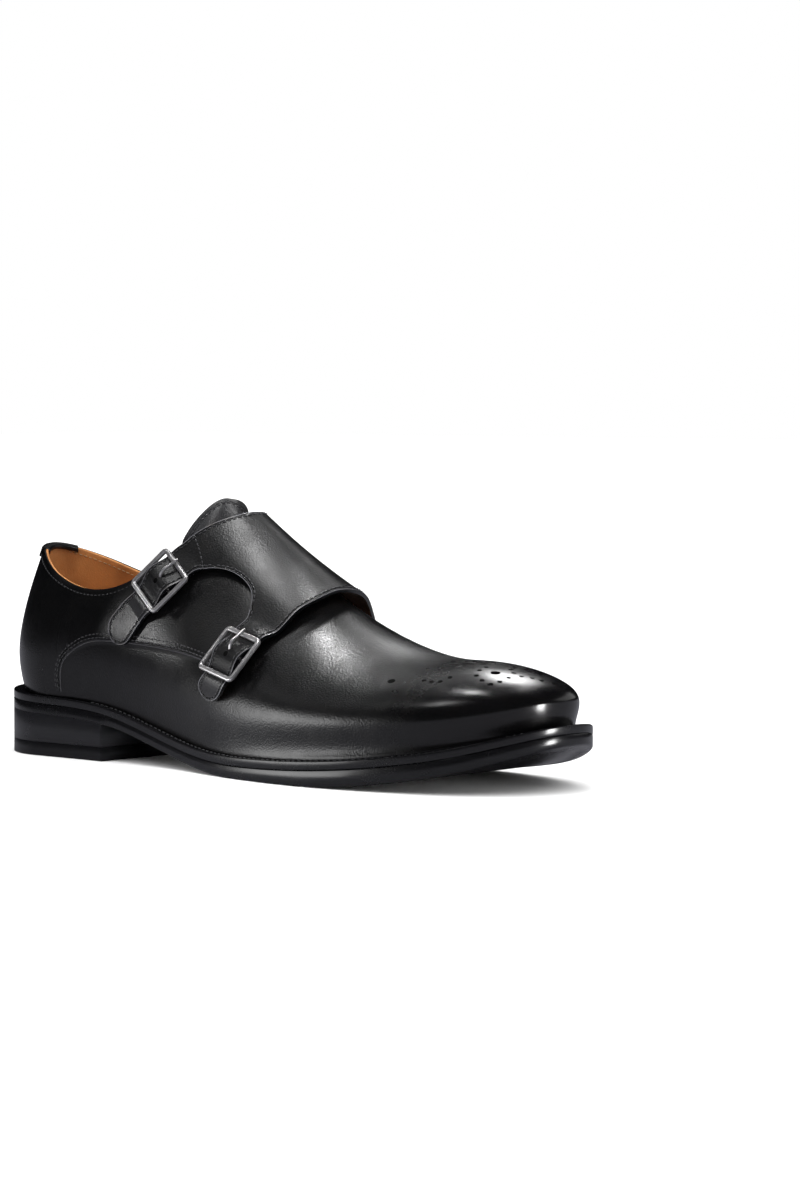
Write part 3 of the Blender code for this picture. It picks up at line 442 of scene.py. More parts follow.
def last(x, place):
    """Outer surface of the upper at section x and girth number place, shape (..., 3).

    Over the girth line a section is a quarter superellipse on each side,
    y = -w cos(a) (1 + k sin(a)^2), z = girth + rise sin(a) (1 + k cos(a)^2), with a = place * 90
    degrees.  Under it the wall curves in to the feather.  Widths and rise close at heel and toe.
    """
    x, place = np.broadcast_arrays(np.asarray(x, float), np.asarray(place, float))
    share = x / LENGTH
    closing = upper_closing(x)
    feather_lateral = half_lateral(x) - inset_of(x)
    feather_medial = half_medial(x) - inset_of(x)
    girth_lateral = (feather_lateral + bulge_lateral(x)) * closing
    girth_medial = (feather_medial + bulge_medial(x)) * closing
    half = (girth_lateral + girth_medial) / 2
    middle = (girth_medial - girth_lateral) / 2
    feather_x = FEATHER_START + (FEATHER_END - FEATHER_START) * share
    girth_x = GIRTH_START + (GIRTH_END - GIRTH_START) * share
    wall_height = girth_of(x)
    girth_z = sole_top(feather_x) + GAP + wall_height
    rise = (ridge_of(x) - girth_z) * toe_rounding(x, TOE_BOX_LENGTH, TOE_BOX_POWER)
    square = square_of(x)

    angle = np.clip(place, 0, 2) * np.pi / 2
    shift = shift_of(x) * closing * np.sin(angle)**2
    dome_y = middle - half * np.cos(angle) * (1 + square * np.sin(angle)**2) + shift
    dome_z = girth_z + rise * np.sin(angle) * (1 + square * np.cos(angle)**2)
    lean = HEEL_LEAN * (np.maximum(dome_z - girth_z, 0) / LEAN_HEIGHT)**1.5 * (1 - share)**3

    down = np.where(place < 0, -place, np.where(place > 2, place - 2, 0))
    side = np.where(place < 1, -1, 1)
    full = np.where(place < 1, girth_lateral, girth_medial)
    foot = np.where(place < 1, feather_lateral, feather_medial) * closing
    match = wall_height**2 * half * (0.5 - square) / (np.maximum(rise, 1) * (1 + square))**2
    tuck = np.maximum(match - (full - foot), 0) * closing**2
    wall_y = side * (full - (full - foot) * down**2 - tuck * down**2 * (1 - down))

    on_wall = down > 0
    return np.stack([
        np.where(on_wall, girth_x + (feather_x - girth_x) * down**2, girth_x + lean),
        np.where(on_wall, wall_y, dome_y),
        np.where(on_wall, girth_z - wall_height * down, dome_z),
    ], axis=-1)


def unit(vectors):
    """Vectors of length one."""
    return vectors / np.maximum(np.linalg.norm(vectors, axis=-1, keepdims=True), 1e-9)


def last_normal(x, place):
    """Outward unit normal of the last, away from its two ends."""
    along = last(x + 0.2, place) - last(x - 0.2, place)
    across = last(x, place + 0.002) - last(x, place - 0.002)
    return unit(np.cross(along, across))


# Sections from the toe along the lateral side to the heel and back, closer where seams climb.
even = LENGTH * (1 + np.cos(np.linspace(0, np.pi, 231))) / 2
extra = np.concatenate([np.arange(44.0, 58.0, 0.35), np.arange(160.0, 181.0, 0.5), [THROAT_FRONT]])
apart = np.min(np.abs(even[:, None] - extra), axis=1) > 0.3
sections = np.unique(np.concatenate([even[apart], extra]))[::-1]
columns = np.concatenate([sections, sections[-2:0:-1]])
is_medial = np.arange(len(columns)) >= len(sections)
is_open = columns < THROAT_FRONT
opening = np.where(is_medial, 2 - opening_medial(columns), opening_lateral(columns))
opening = np.where(is_open, opening, 1.0)


def ring_normals(points):
    """Outward normals of a grid whose columns close round the shoe and whose ridge is welded."""
    along = np.roll(points, -1, axis=1) - np.roll(points, 1, axis=1)
    normals = np.cross(np.gradient(points, axis=0), along)
    size = np.linalg.norm(normals, axis=-1, keepdims=True)
    toe_pole = np.array([1.0, 0.0, 0.0])
    normals = np.where(size > 1e-6, normals / np.maximum(size, 1e-6), toe_pole)
    mirror = -np.arange(len(columns)) % len(columns)
    ridge = unit(normals[-1] + normals[-1][mirror])
    normals[-1] = np.where(is_open[:, None], normals[-1], ridge)
    normals[:, 0, 1] = 0
    normals[points[:, 0, 2] >= points[-1, 0, 2] - 1e-6, 0] = toe_pole
    return normals


def creases(points):
    """Soft walking creases: a trough of bell section with a lower ridge on each side of it.

    Each crease runs from one place to another; depth falls off along it as a sine, and across it
    as (1 - 2 d^2) exp(-d^2), with d the distance over its half width.
    """
    total = np.zeros(points.shape[:-1])
    share = np.linspace(0, 1, 25)
    for x0, place0, x1, place1, width, depth in CREASES:
        line = last(x0 + (x1 - x0) * share, place0 + (place1 - place0) * share)
        step = np.linalg.norm(points[..., None, :] - line, axis=-1)
        nearest = np.argmin(step, axis=-1)
        d = np.min(step, axis=-1) / width
        total -= depth * np.sin(np.pi * share[nearest]) * (1 - 2 * d**2) * np.exp(-d**2)
    return total


def upper_outer():
    """Outer grid of the upper, its normals, and how far each point is over the seam's edge.

    Under the seam the rows split the way from the feather; the next rows climb the cut edge of
    the quarters, a step of SEAM_STEP that thins back over SEAM_FADE, as far as the opening.
    """
    on_seam = np.clip(columns, SEAM_START, SEAM_END)
    seam = np.interp(on_seam, np.maximum.accumulate(seam_x), seam_y)
    slope = np.gradient(seam, on_seam + 1e-6 * np.arange(len(columns)))
    arc = UNDER_GIRTH + (OVER_GIRTH - UNDER_GIRTH) * smooth(seam / 0.06 + 0.5)
    spread = np.sqrt(1 + np.clip(np.nan_to_num(slope) * arc, -8, 8)**2) / arc
    below = np.linspace(0, 1, 42)[:, None]**0.8
    climb = np.array([0.12, 0.22, 0.34, 0.5, 0.75, 1.1])[:, None]
    levels = np.array([0.10, 0.55, 0.85, 0.97, 1.0, 1.0])[:, None]
    above = np.linspace(0, 1, 58)[1:, None]**1.1
    start = seam + climb[-1] * spread
    place = np.concatenate([-1 + (seam + 1) * below, seam + climb * spread,
                            start + (opening - start) * above])
    level = np.concatenate([0 * below, levels, 1 + 0 * above])
    fade = np.exp(-np.maximum(place - seam, 0) * GIRTH_ARC / SEAM_FADE)
    span = seam_start(columns) * smooth((SEAM_HEAD - columns) / 4)
    over_edge = np.where(place > seam + 1e-6, (place - seam) / spread, 0)
    over_edge = np.where((span > 0) & (place > seam - 1e-6), over_edge, NO_EDGE)
    points = last(columns, np.where(is_medial, 2 - place, place))
    proud = SEAM_STEP * level * fade * span + creases(points)
    points = points + ring_normals(points) * proud[..., None]
    return points, ring_normals(points), over_edge


def rim_rows(points, normals, steps):
    """Further rows past a grid's last one; steps are (up along the surface, in to the foot)."""
    rise = unit(points[-1] - points[-3])
    return np.stack([points[-1] + rise * up - normals[-1] * inward for up, inward in steps])


def faces_round_shoe(rows, first_rim_row):
    """Quads of a grid round the shoe; its rim stops in front of the throat."""
    faces = grid_faces(rows, len(columns), closed=True)
    row, column = np.divmod(faces[:, 0], len(columns))
    return faces[(row < first_rim_row) | (is_open[column] & is_open[(column + 1) % len(columns)])]


def calf_group():
    """Box calf: pebbles under a millimetre, fine hairlines, and wax polish that fills the grain.

    Grain height is the distance to the nearest of scattered cell centres, bent by noise.  A hot
    iron's crease line runs 1 mm inside a cut edge, where Edge is the distance from that edge; the
    face is painted lighter over the outer 0.4 mm, a painted highlight along the cut edge.
    """
    group, given = effect_group("box_calf", Shade="Float", Gloss="Float", Grain="Float",
                                Polish="Float", Edge="Float", Edge_Shade="Float")
    place = millimetres(group)
    bend = node(group, "TexNoise", Vector=place, Scale=0.5, Detail=2.0).outputs["Color"]
    moved = node(group, "VectorMath", {"operation": "ADD"}, n_0=bend, n_1=place).outputs[0]
    bent = node(group, "Mix", {"data_type": "VECTOR"}, n_0=0.35, n_4=place, n_5=moved).outputs[1]
    cells = node(group, "TexVoronoi", {"feature": "SMOOTH_F1"}, Vector=bent, Scale=1.35,
                 Smoothness=0.55, Randomness=1.0).outputs["Distance"]
    fine = noise(group, place, 2.4, 3.0, Roughness=0.6)
    patches = noise(group, place, 0.035, 4.0)
    wax = noise(group, place, 0.12, 5.0, Roughness=0.65)
    depth = times(group, maths(group, "SUBTRACT", 1.0, given["Polish"]), given["Grain"])
    depth = times(group, depth, ramp(group, patches, 0.3, 0.7, 0.6, 1.25))
    grain = times(group, cells, -0.08, plus=times(group, fine, 0.012))
    crease_line = maths(group, "SUBTRACT", ramp(group, given["Edge"], 0.75, 1.05),
                        ramp(group, given["Edge"], 1.05, 1.45))
    height = times(group, crease_line, -0.22, plus=times(group, wax, 0.01))
    height = times(group, grain, depth, plus=height)
    # Painted highlight: the face is painted lighter over the outer 0.4 mm from a cut edge.
    painted_edge_highlight = ramp(group, given["Edge"], 0.1, 0.4, given["Edge Shade"], 0.0)
    shade = times(group, given["Shade"], ramp(group, patches, 0.3, 0.7, 0.8, 1.25), plus=painted_edge_highlight)
    warm = blend_colours(group, ramp(group, wax, 0.45, 0.75), (1.0, 1.0, 1.12), (1.15, 1.03, 1.0))
    tint = node(group, "VectorMath", {"operation": "SCALE"}, n_0=warm, Scale=shade).outputs[0]
    rough = times(group, given["Polish"], -0.10, plus=given["Gloss"])
    rough = maths(group, "ADD", rough, ramp(group, wax, 0.35, 0.7, -0.02, 0.05))
    return finish_group(group, tint, maths(group, "MAXIMUM", rough, 0.1), height)


box_calf = calf_group()
# The quarters' seam edge carries a faint painted highlight.
upper_calf = finish_material("calf upper", box_calf, facts=("Polish", "Edge"),
                             Shade=0.002, Gloss=0.31, Grain=0.8, Edge_Shade=0.04)
outer, outer_normals, over_edge = upper_outer()
foot = outer[0] - [0, 0, GAP + 0.4]
foot = np.stack([foot - outer_normals[0] * [4.5, 4.5, 0], foot - outer_normals[0] * [0.3, 0.3, 0]])
bead = rim_rows(outer, outer_normals,
                ((0.22, 0.08), (0.4, 0.4), (0.42, 0.8), (0.3, 1.1), (-0.6, 1.3)))
upper_points = np.concatenate([foot, outer, bead])
toe_polish = smooth((outer[..., 0] - TOE_POLISH_START) / TOE_POLISH_RUN)
counter_polish = (smooth((COUNTER_POLISH_END - outer[..., 0]) / COUNTER_POLISH_RUN)
                  * smooth((COUNTER_POLISH_TOP - outer[..., 2]) / COUNTER_POLISH_FADE))
polish = np.maximum(toe_polish, counter_polish)
polish = np.concatenate([polish[:1], polish[:1], polish, np.zeros(bead.shape[:2])])
edge = np.concatenate([np.full((2, len(columns)), NO_EDGE), over_edge,
                       np.full(bead.shape[:2], NO_EDGE)])
add_piece("upper", upper_points, faces_round_shoe(len(upper_points), len(outer) + 1),
          [upper_calf], facts={"polish": polish, "edge": edge})


# ---- lining and insole -----------------------------------------------------------------------
# Tan vegetable-tanned calf glued inside the quarters and vamp, its cut edge level with the
# black bead, and a tan sock lying on the insole board, dished a little across.
INSOLE_THICKNESS = 2.0
INSOLE_MARGIN = WALL + 1.3
INSOLE_DISH = 0.8
INSOLE_ROWS, INSOLE_ACROSS = 150, 31


def lining_group():
    """Tan lining leather: pores, soft creasing and patches where the dye took deeper."""
    group, given = effect_group("tan_lining", Shade="Color", Gloss="Float")
    place = millimetres(group)
    patches = noise(group, place, 0.05, 5.0)
    pores = node(group, "TexVoronoi", Vector=place, Scale=1.6).outputs["Distance"]
    fibre = noise(group, place, 1.2, 4.0)
    deep = blend_colours(group, ramp(group, patches, 0.35, 0.65),
                         (0.72, 0.66, 0.6), (1.1, 1.08, 1.0))
    speck = blend_colours(group, ramp(group, pores, 0.0, 0.22),
                          (0.55, 0.5, 0.45), (1.0, 1.0, 1.0))
    tint = tinted(group, tinted(group, deep, speck), given["Shade"])
    rough = maths(group, "ADD", given["Gloss"], ramp(group, fibre, 0.3, 0.7, -0.05, 0.08))
    height = times(group, pores, 0.06, plus=times(group, fibre, 0.08))
    return finish_group(group, tint, rough, height)


tan_lining = lining_group()
lining_leather = finish_material("tan lining leather", tan_lining, specular=0.4,
                                 Shade=(0.54, 0.245, 0.088, 1), Gloss=0.52)
inner_place = -1 + (opening + 1) * np.linspace(0, 1, 60)[:, None]
inner = last(columns, np.where(is_medial, 2 - inner_place, inner_place))
lining_edge = rim_rows(outer, outer_normals,
                       ((0.3, 2.15), (0.5, 2.0), (0.62, 1.6), (0.5, 1.2), (0.2, 1.0)))
lining_points = np.concatenate([inner - ring_normals(inner) * WALL, lining_edge])
lining_points[0, :, 2] = sole_top(lining_points[0, :, 0]) + GAP
add_piece("lining", lining_points, faces_round_shoe(len(lining_points), len(inner) - 1),
          [lining_leather], in_cad=False)

sock_leather = finish_material("tan sock leather", tan_lining, specular=0.45,
                               Shade=(0.33, 0.135, 0.045, 1), Gloss=0.42)
x = LENGTH * (1 - np.cos(np.linspace(0, np.pi, INSOLE_ROWS))) / 2
closing = upper_closing(x)
start = FEATHER_START + INSOLE_MARGIN
along = start + (FEATHER_END - INSOLE_MARGIN - start) * x / LENGTH
lateral = last(x, -1.0)[:, 1] + INSOLE_MARGIN * closing
medial = last(x, 3.0)[:, 1] - INSOLE_MARGIN * closing
t = np.sin(np.linspace(-1, 1, INSOLE_ACROSS) * np.pi / 2)
y = (lateral + medial)[:, None] / 2 + (medial - lateral)[:, None] / 2 * t
top = (sole_top(along) + GAP + INSOLE_THICKNESS)[:, None]
top = top - INSOLE_DISH * (1 - t**2) * closing[:, None] + INSOLE_DISH
upper_face = np.stack([along[:, None] + 0 * y, y, top], axis=-1)
lower_face = upper_face.copy()
lower_face[..., 2] = (sole_top(along) + GAP)[:, None]
n = INSOLE_ROWS * INSOLE_ACROSS
quads = grid_faces(INSOLE_ROWS, INSOLE_ACROSS)
rim = np.concatenate([
    np.arange(INSOLE_ACROSS), np.arange(2, INSOLE_ROWS + 1) * INSOLE_ACROSS - 1,
    n - 2 - np.arange(INSOLE_ACROSS - 1), np.arange(INSOLE_ROWS - 2, 0, -1) * INSOLE_ACROSS])
after = np.roll(rim, -1)
skirt = np.stack([rim, after, after + n, rim + n], axis=-1)
add_piece("insole", np.concatenate([upper_face, lower_face]),
          np.concatenate([quads, quads[:, ::-1] + n, skirt]), [sock_leather])


# ---- tongue ----------------------------------------------------------------------------------
# Black calf backed with tan, cut in one with the vamp lining and standing a little over the
# collar; one row of stitches follows its top edge.
TONGUE_THICKNESS = 2.0
TONGUE_REACH = 0.5
TONGUE_FRONT = 190.0
TONGUE_RISE = 3.3           # from under the quarters to level with them, inside the opening
TONGUE_BULGE = 3.2          # further rise of its medial half
TONGUE_BED = WALL + 1.4     # depth of its root under the upper's outer face
TONGUE_TOP_ROWS = (         # place, x of the free top edge
    (0.50, 103.5), (0.58, 104.0), (0.65, 105.3), (0.76, 108.8), (0.88, 112.8), (1.00, 116.6),
    (1.12, 117.8), (1.25, 115.5), (1.40, 107.5), (1.52, 101.5),
)
tongue_top, = table_curves(TONGUE_TOP_ROWS)


def tongue_surface(place, x):
    """Outer face of the tongue, risen inside the opening, shape (..., 3)."""
    shown = smooth((124 - x) / 10)
    from_lateral = place - opening_lateral(x) - 0.005
    from_medial = opening_medial(x) - place - 0.005
    rise = TONGUE_RISE * smooth(from_lateral / 0.055) * smooth(from_medial / 0.14)
    rise = rise + TONGUE_BULGE * smooth((place - 0.95) / 0.2) * smooth(from_medial / 0.2)
    return last(x, place) - last_normal(x, place) * (TONGUE_BED - rise * shown)[..., None]


def thicken(piece, thickness, offset):
    """Give a sheet its thickness."""
    solid = piece.modifiers.new("thickness", "SOLIDIFY")
    solid.thickness = thickness * MM
    solid.offset = offset
    return solid


def add_sheet(name, points, faces, finishes, thickness, core, rounding, edge):
    """Leather sheet thickened inwards, its cut edges rounded.

    finishes are those of its face, its back and its cut edge, and edge is each point's distance
    from the nearest cut edge.
    """
    made = add_piece(name, points, faces, finishes, core=core, facts={"edge": edge})
    solid = thicken(made, thickness, -1)
    solid.material_offset, solid.material_offset_rim = 1, 2
    solid.use_even_offset = True
    bevel = made.modifiers.new("rounded edges", "BEVEL")
    bevel.width = rounding * MM
    bevel.segments = 3
    bevel.limit_method = "ANGLE"
    bevel.angle_limit = np.radians(50)


tongue_calf = finish_material("calf tongue", box_calf, specular=0.45, facts=("Edge",),
                              Shade=0.012, Gloss=0.42, Grain=0.8)
tongue_place = 1 + np.linspace(-TONGUE_REACH, TONGUE_REACH, 81)
tongue_x = tongue_top(tongue_place)
tongue_x = tongue_x + (TONGUE_FRONT - tongue_x) * np.linspace(0, 1, 60)[:, None]**1.5
add_sheet("tongue", tongue_surface(tongue_place + 0 * tongue_x, tongue_x),
          grid_faces(*tongue_x.shape), [tongue_calf, lining_leather, tongue_calf],
          TONGUE_THICKNESS, (120, 0, 40), 0.45, np.maximum(tongue_x - tongue_x[0] - 1.1, 0.5))


# ---- strap flap ------------------------------------------------------------------------------
# The monk flap: a calf sheet backed with brown leather that crosses the instep and divides into
# two straps round an arched cut-out.  Each strap passes under the ends of its buckle and over
# the centre bar; the cut edges are bevelled, inked and creased.
FLAP_THICKNESS = 1.7
FLAP_LIFT, FLAP_LIFT_FRONT = 2.0, 4.8       # underside above the last at its rear and front edges
STRAP_LIFT = 1.2
STRAP_TIP = 7.0
STRAP_HALF_WIDTH, STRAP_TAPER = 7.8, 0.5
STRAP_UNDER_BAR, STRAP_BULGE = 1.3, 3.2
BUCKLE_WIDTH, BUCKLE_LENGTH = 23.0, 22.0
BUCKLE_BAR = (2.1, 1.9)
THIRD = 12                                  # cells across a third of the flap
BODY_REAR = ((151, 1.78), (147, 1.62), (134, 1.545), (118, 1.50), (101, 1.435))     # x, place
BODY_FRONT = ((171, 1.78), (172, 1.68), (173.5, 1.57), (175.5, 1.45), (178, 1.33))
REAR_EDGE = (
    (101, 1.435), (109, 1.33), (120, 1.22), (128.5, 1.11), (131.2, 1.02), (130, 0.93), (123.4, 0.78),
    (112.3, 0.624), (108.3, 0.566), (97, 0.425), (89, 0.327), (81.8, 0.235), (75.8, 0.14),
)
REAR_AT_STRAP, REAR_AT_BUCKLE = 7, 8
FRONT_EDGE = (
    (178, 1.33), (180.3, 1.22), (181.6, 1.12), (181.8, 1.02), (181.2, 0.92), (180.9, 0.82),
    (179.5, 0.72), (178, 0.65), (176.7, 0.575), (174.6, 0.50), (171.4, 0.432), (168, 0.378),
    (165.4, 0.30), (163.2, 0.215), (161.6, 0.13), (160.2, 0.035),
)
FRONT_AT_STRAP, FRONT_AT_BUCKLE = 8, 11
CUT_OUT = (
    (89.5, 0.065), (96, 0.175), (101.8, 0.272), (110, 0.375), (118.9, 0.488), (129.3, 0.565),
    (139, 0.608), (148, 0.617), (153.6, 0.592), (156.3, 0.53), (156.4, 0.45), (151.8, 0.368),
    (148.2, 0.285), (145.3, 0.205), (143.2, 0.12), (142.6, 0.05),
)
CUT_OUT_UPPER_BUCKLE, CUT_OUT_TOP_START, CUT_OUT_TOP_END, CUT_OUT_LOWER_BUCKLE = 4, 5, 9, 11
BUCKLES = (                 # name, centre of the frame, along the strap, facing
    ("upper", (107.1, -30.9, 78.4), (-0.59, -0.40, -0.70), (0.05, -0.89, 0.46)),
    ("lower", (159.3, -43.6, 50.6), (-0.27, -0.58, -0.77), (0.00, -0.80, 0.60)),
)


def edge_run(places, start, end, count):
    """Places spaced evenly along an edge, from one of its listed places to another."""
    places = np.array(places, float)
    knots = run_of(last(places[:, 0], places[:, 1]))
    return smooth_line(places, knots, np.linspace(knots[start], knots[end], count))


def ruled(rear, front, rows):
    """Grid of places ruled between two runs, each an edge with its start, end and count."""
    share = np.linspace(0, 1, rows)[:, None, None]
    return edge_run(*rear) * (1 - share) + edge_run(*front) * share


def buckle_axes(centre, along, facing):
    """Centre of a buckle with its unit axes along the strap, across it and away from the foot."""
    facing = unit(np.array(facing, float))
    along = unit(np.array(along) - facing * np.dot(along, facing))
    return np.array(centre), along, np.cross(facing, along), facing


def round_tip(grid):
    """Round the end of a strap by drawing its last rows of points towards its middle line."""
    middle = (grid[:1] + grid[-1:]) / 2
    points = last(middle[..., 0], middle[..., 1])
    steps = np.linalg.norm(np.diff(points[0], axis=0), axis=-1)
    to_end = np.concatenate([np.cumsum(steps[::-1])[::-1], [0]])
    narrow = np.sqrt(1 - np.clip(1 - to_end / STRAP_TIP, 0, 0.995)**2)
    return middle + (grid - middle) * narrow[None, :, None]


def strap_over_buckle(points, centre, along, across, facing):
    """Lead a strap's outer face, rows across it, under the end bars and over the centre bar."""
    off = np.sum((points - centre) * along, axis=-1)
    bar = (BUCKLE_LENGTH - BUCKLE_BAR[0]) / 2
    wave = STRAP_BULGE * np.cos(np.clip(off / bar, -1, 1) * np.pi / 2)**2
    aside = np.linspace(-1, 1, len(points))[:, None] * (STRAP_HALF_WIDTH - STRAP_TAPER * off / bar)
    held = centre + along * off[..., None] + across * aside[..., None]
    held = held + facing * (wave - STRAP_UNDER_BAR)[..., None]
    share = 1 - smooth((np.abs(off) - bar - 1.0) / 8)
    return points + (held - points) * share[..., None]


def flap_grids():
    """Outer face of the flap as named grids of points, rows from the rear edge to the front."""
    full, narrow = 3 * THIRD + 1, THIRD + 1
    top_to_arch = 57
    top = ruled((REAR_EDGE, 0, REAR_AT_STRAP, top_to_arch),
                (FRONT_EDGE, 0, FRONT_AT_STRAP, top_to_arch), full)
    upper_root = ruled((REAR_EDGE, REAR_AT_STRAP, REAR_AT_BUCKLE, 10),
                       (CUT_OUT, CUT_OUT_TOP_START, CUT_OUT_UPPER_BUCKLE, 10), narrow)
    lower_root = ruled((CUT_OUT, CUT_OUT_TOP_END, CUT_OUT_LOWER_BUCKLE, 20),
                       (FRONT_EDGE, FRONT_AT_STRAP, FRONT_AT_BUCKLE, 20), narrow)
    arch = edge_run(CUT_OUT, CUT_OUT_TOP_START, CUT_OUT_TOP_END, narrow)
    bend = np.concatenate([upper_root[:, 0], arch[1:-1], lower_root[:, 0]]) - top[:, -1]
    places = {                  # grid of places, share of the flap's width at its rear and front
        "body": (ruled((BODY_REAR, 0, 4, 24), (BODY_FRONT, 0, 4, 24), full), 0, 1),
        "top": (top + bend[:, None] * smooth(np.linspace(-0.4, 1, top_to_arch))[:, None], 0, 1),
        "upper_root": (upper_root, 0, 1 / 3),
        "upper_strap": (round_tip(ruled((REAR_EDGE, REAR_AT_BUCKLE, -1, 76),
                                        (CUT_OUT, CUT_OUT_UPPER_BUCKLE, 0, 76), narrow)), 0, 1 / 3),
        "lower_root": (lower_root, 2 / 3, 1),
        "lower_strap": (round_tip(ruled((CUT_OUT, CUT_OUT_LOWER_BUCKLE, -1, 66),
                                        (FRONT_EDGE, FRONT_AT_BUCKLE, -1, 66), narrow)), 2 / 3, 1),
    }
    grids = {}
    for name, (grid, rear_share, front_share) in places.items():
        x, place = grid[..., 0], grid[..., 1]
        share = np.linspace(rear_share, front_share, len(grid))[:, None]
        crown = smooth((place - 0.35) / 0.4) * smooth((1.85 - place) / 0.4)
        lift = FLAP_LIFT + (FLAP_LIFT_FRONT - FLAP_LIFT) * share**1.3 * crown
        lift = lift + (STRAP_LIFT - lift) * (1 - smooth((place - 0.42) / 0.25))
        points = last(x, place) + last_normal(x, place) * (lift + FLAP_THICKNESS)[..., None]
        for _, *pose in BUCKLES:
            centre, *axes = buckle_axes(*pose)
            near = np.min(np.linalg.norm(points - centre, axis=-1)) < BUCKLE_WIDTH
            if len(grid) == narrow and near:
                points = strap_over_buckle(points, centre, *axes)
        grids[name] = points
    return grids


strap_settings = {"Shade": 0.003, "Gloss": 0.33, "Grain": 0.7}
# The straps' cut edges carry a painted highlight, lighter over their outer 0.4 mm.
strap_calf = finish_material("calf straps", box_calf, facts=("Edge",), Edge_Shade=0.11,
                             **strap_settings)
loop_calf = finish_material("calf loops", box_calf, Edge=NO_EDGE, **strap_settings)
strap_backing = finish_material("brown strap backing", tan_lining, specular=0.4,
                                Shade=(0.10, 0.035, 0.014, 1), Gloss=0.5)
flap = flap_grids()
flap_faces, first = [], 0
for grid in flap.values():
    flap_faces.append(grid_faces(*grid.shape[:2], first=first))
    first += grid.size // 3
flap_points = np.concatenate([grid.reshape(-1, 3) for grid in flap.values()])
cut_lines = [grid[row] for grid in flap.values() for row in (0, -1)]
cut_lines += [flap["top"][THIRD:2 * THIRD + 1, -1],
              flap["upper_strap"][:, -1], flap["lower_strap"][:, -1]]
cut_points = np.concatenate([line[:-1] + np.diff(line, axis=0) * t
                             for line in cut_lines for t in (0, 0.5)])
to_edge = np.min(np.linalg.norm(flap_points[:, None] - cut_points, axis=-1), axis=1)
add_sheet("monk_flap", flap_points, np.concatenate(flap_faces),
          [strap_calf, strap_backing, edge_ink], FLAP_THICKNESS, (140, 0, 30), 0.5,
          to_edge)


# ---- heel tab --------------------------------------------------------------------------------
# A narrow strip of black calf folded over the collar where the quarters meet at the back.  It
# is glued flat to the quarters outside and turned in just over the lining.
HEEL_TAB_LATERAL, HEEL_TAB_MEDIAL = 7.0, 5.0
HEEL_TAB_THICKNESS, HEEL_TAB_DROP = 0.7, 3.5
HEEL_TAB_TURN = 1.3         # how far it is turned in over the lining
steps = np.linspace(1, 0, 15)**1.6
x = np.concatenate([HEEL_TAB_LATERAL * steps, HEEL_TAB_MEDIAL * steps[-2::-1]])
middle = len(steps) - 1
on_medial = np.arange(len(x)) > middle
place = np.where(on_medial, opening_medial(x), opening_lateral(x))
point = last(x, place)
rise = unit(point - last(x, place + np.where(on_medial, 0.08, -0.08)))
outward = np.cross(rise, np.gradient(point, axis=0))
outward[middle, 1] = 0
outward = unit(outward)
out, lined = HEEL_TAB_THICKNESS + GAP, -WALL - GAP
back = lined - HEEL_TAB_THICKNESS
section = (                 # outwards and up from the collar's edge
    (0.1, -HEEL_TAB_DROP), (0.1, 0.0), (lined + 0.2, 0.0), (lined + 0.2, -HEEL_TAB_TURN),
    (lined - 0.5, -HEEL_TAB_TURN), (back, -HEEL_TAB_TURN + 0.3), (back, 0.1),
    (lined - 0.35, 0.6), (lined + 0.4, 0.92), (-1.2, 1.0), (0.1, 0.95), (0.65, 0.68),
    (out, 0.1), (out, -HEEL_TAB_DROP + 0.3), (out - 0.25, -HEEL_TAB_DROP),
)
rings = np.stack([point + outward * across + rise * up for across, up in section])
row_starts = np.arange(len(section)) * len(x)
faces = grid_faces(len(section), len(x), looped=True).tolist()
faces += [row_starts.tolist(), (row_starts + len(x) - 1).tolist()]
add_piece("heel_tab", rings, faces, [loop_calf])


# ---- buckles ---------------------------------------------------------------------------------
# Two cast frames in polished dark nickel, each with a centre bar tied to the quarter by a calf
# loop; the prong comes up through the strap and rests on the frame's near bar.
CENTRE_BAR_RADIUS, CENTRE_BAR_DROP = 0.7, 1.6
PRONG_RADIUS = 0.75
BUCKLE_CORNER = 2.5
CORNER_STEPS = 10
LOOP_HALF_WIDTH, LOOP_THICKNESS = 4.5, 0.5
FRAME_SECTION = (           # shares of the bar's width outwards and of its height up
    (0.5, -0.28), (0.5, 0.20), (0.42, 0.36), (0.26, 0.46), (0.06, 0.5), (-0.2, 0.44), (-0.40, 0.30),
    (-0.49, 0.12), (-0.5, -0.3), (-0.4, -0.46), (-0.2, -0.5), (0.3, -0.5), (0.44, -0.42),
)


def metal_group():
    """Polished plating: hairline scratches along each bar and a darker film in patches."""
    group, given = effect_group("dark_nickel", Shade="Color", Gloss="Float")
    scratch = noise(group, millimetres(group, (2, 0.3, 2)), 1.0, 2.0)
    film = noise(group, millimetres(group), 0.25, 1.0)
    tone = blend_colours(group, ramp(group, film, 0.35, 0.7), (0.82, 0.82, 0.84), (1.0, 1.0, 1.0))
    rough = maths(group, "ADD", given["Gloss"], ramp(group, scratch, 0.4, 0.8, 0.0, 0.05))
    tint = tinted(group, tone, given["Shade"])
    return finish_group(group, tint, rough, times(group, film, 0.004))


nickel = finish_material("dark nickel", metal_group(), metallic=0.92,
                         Shade=(0.64, 0.63, 0.63, 1), Gloss=0.30)


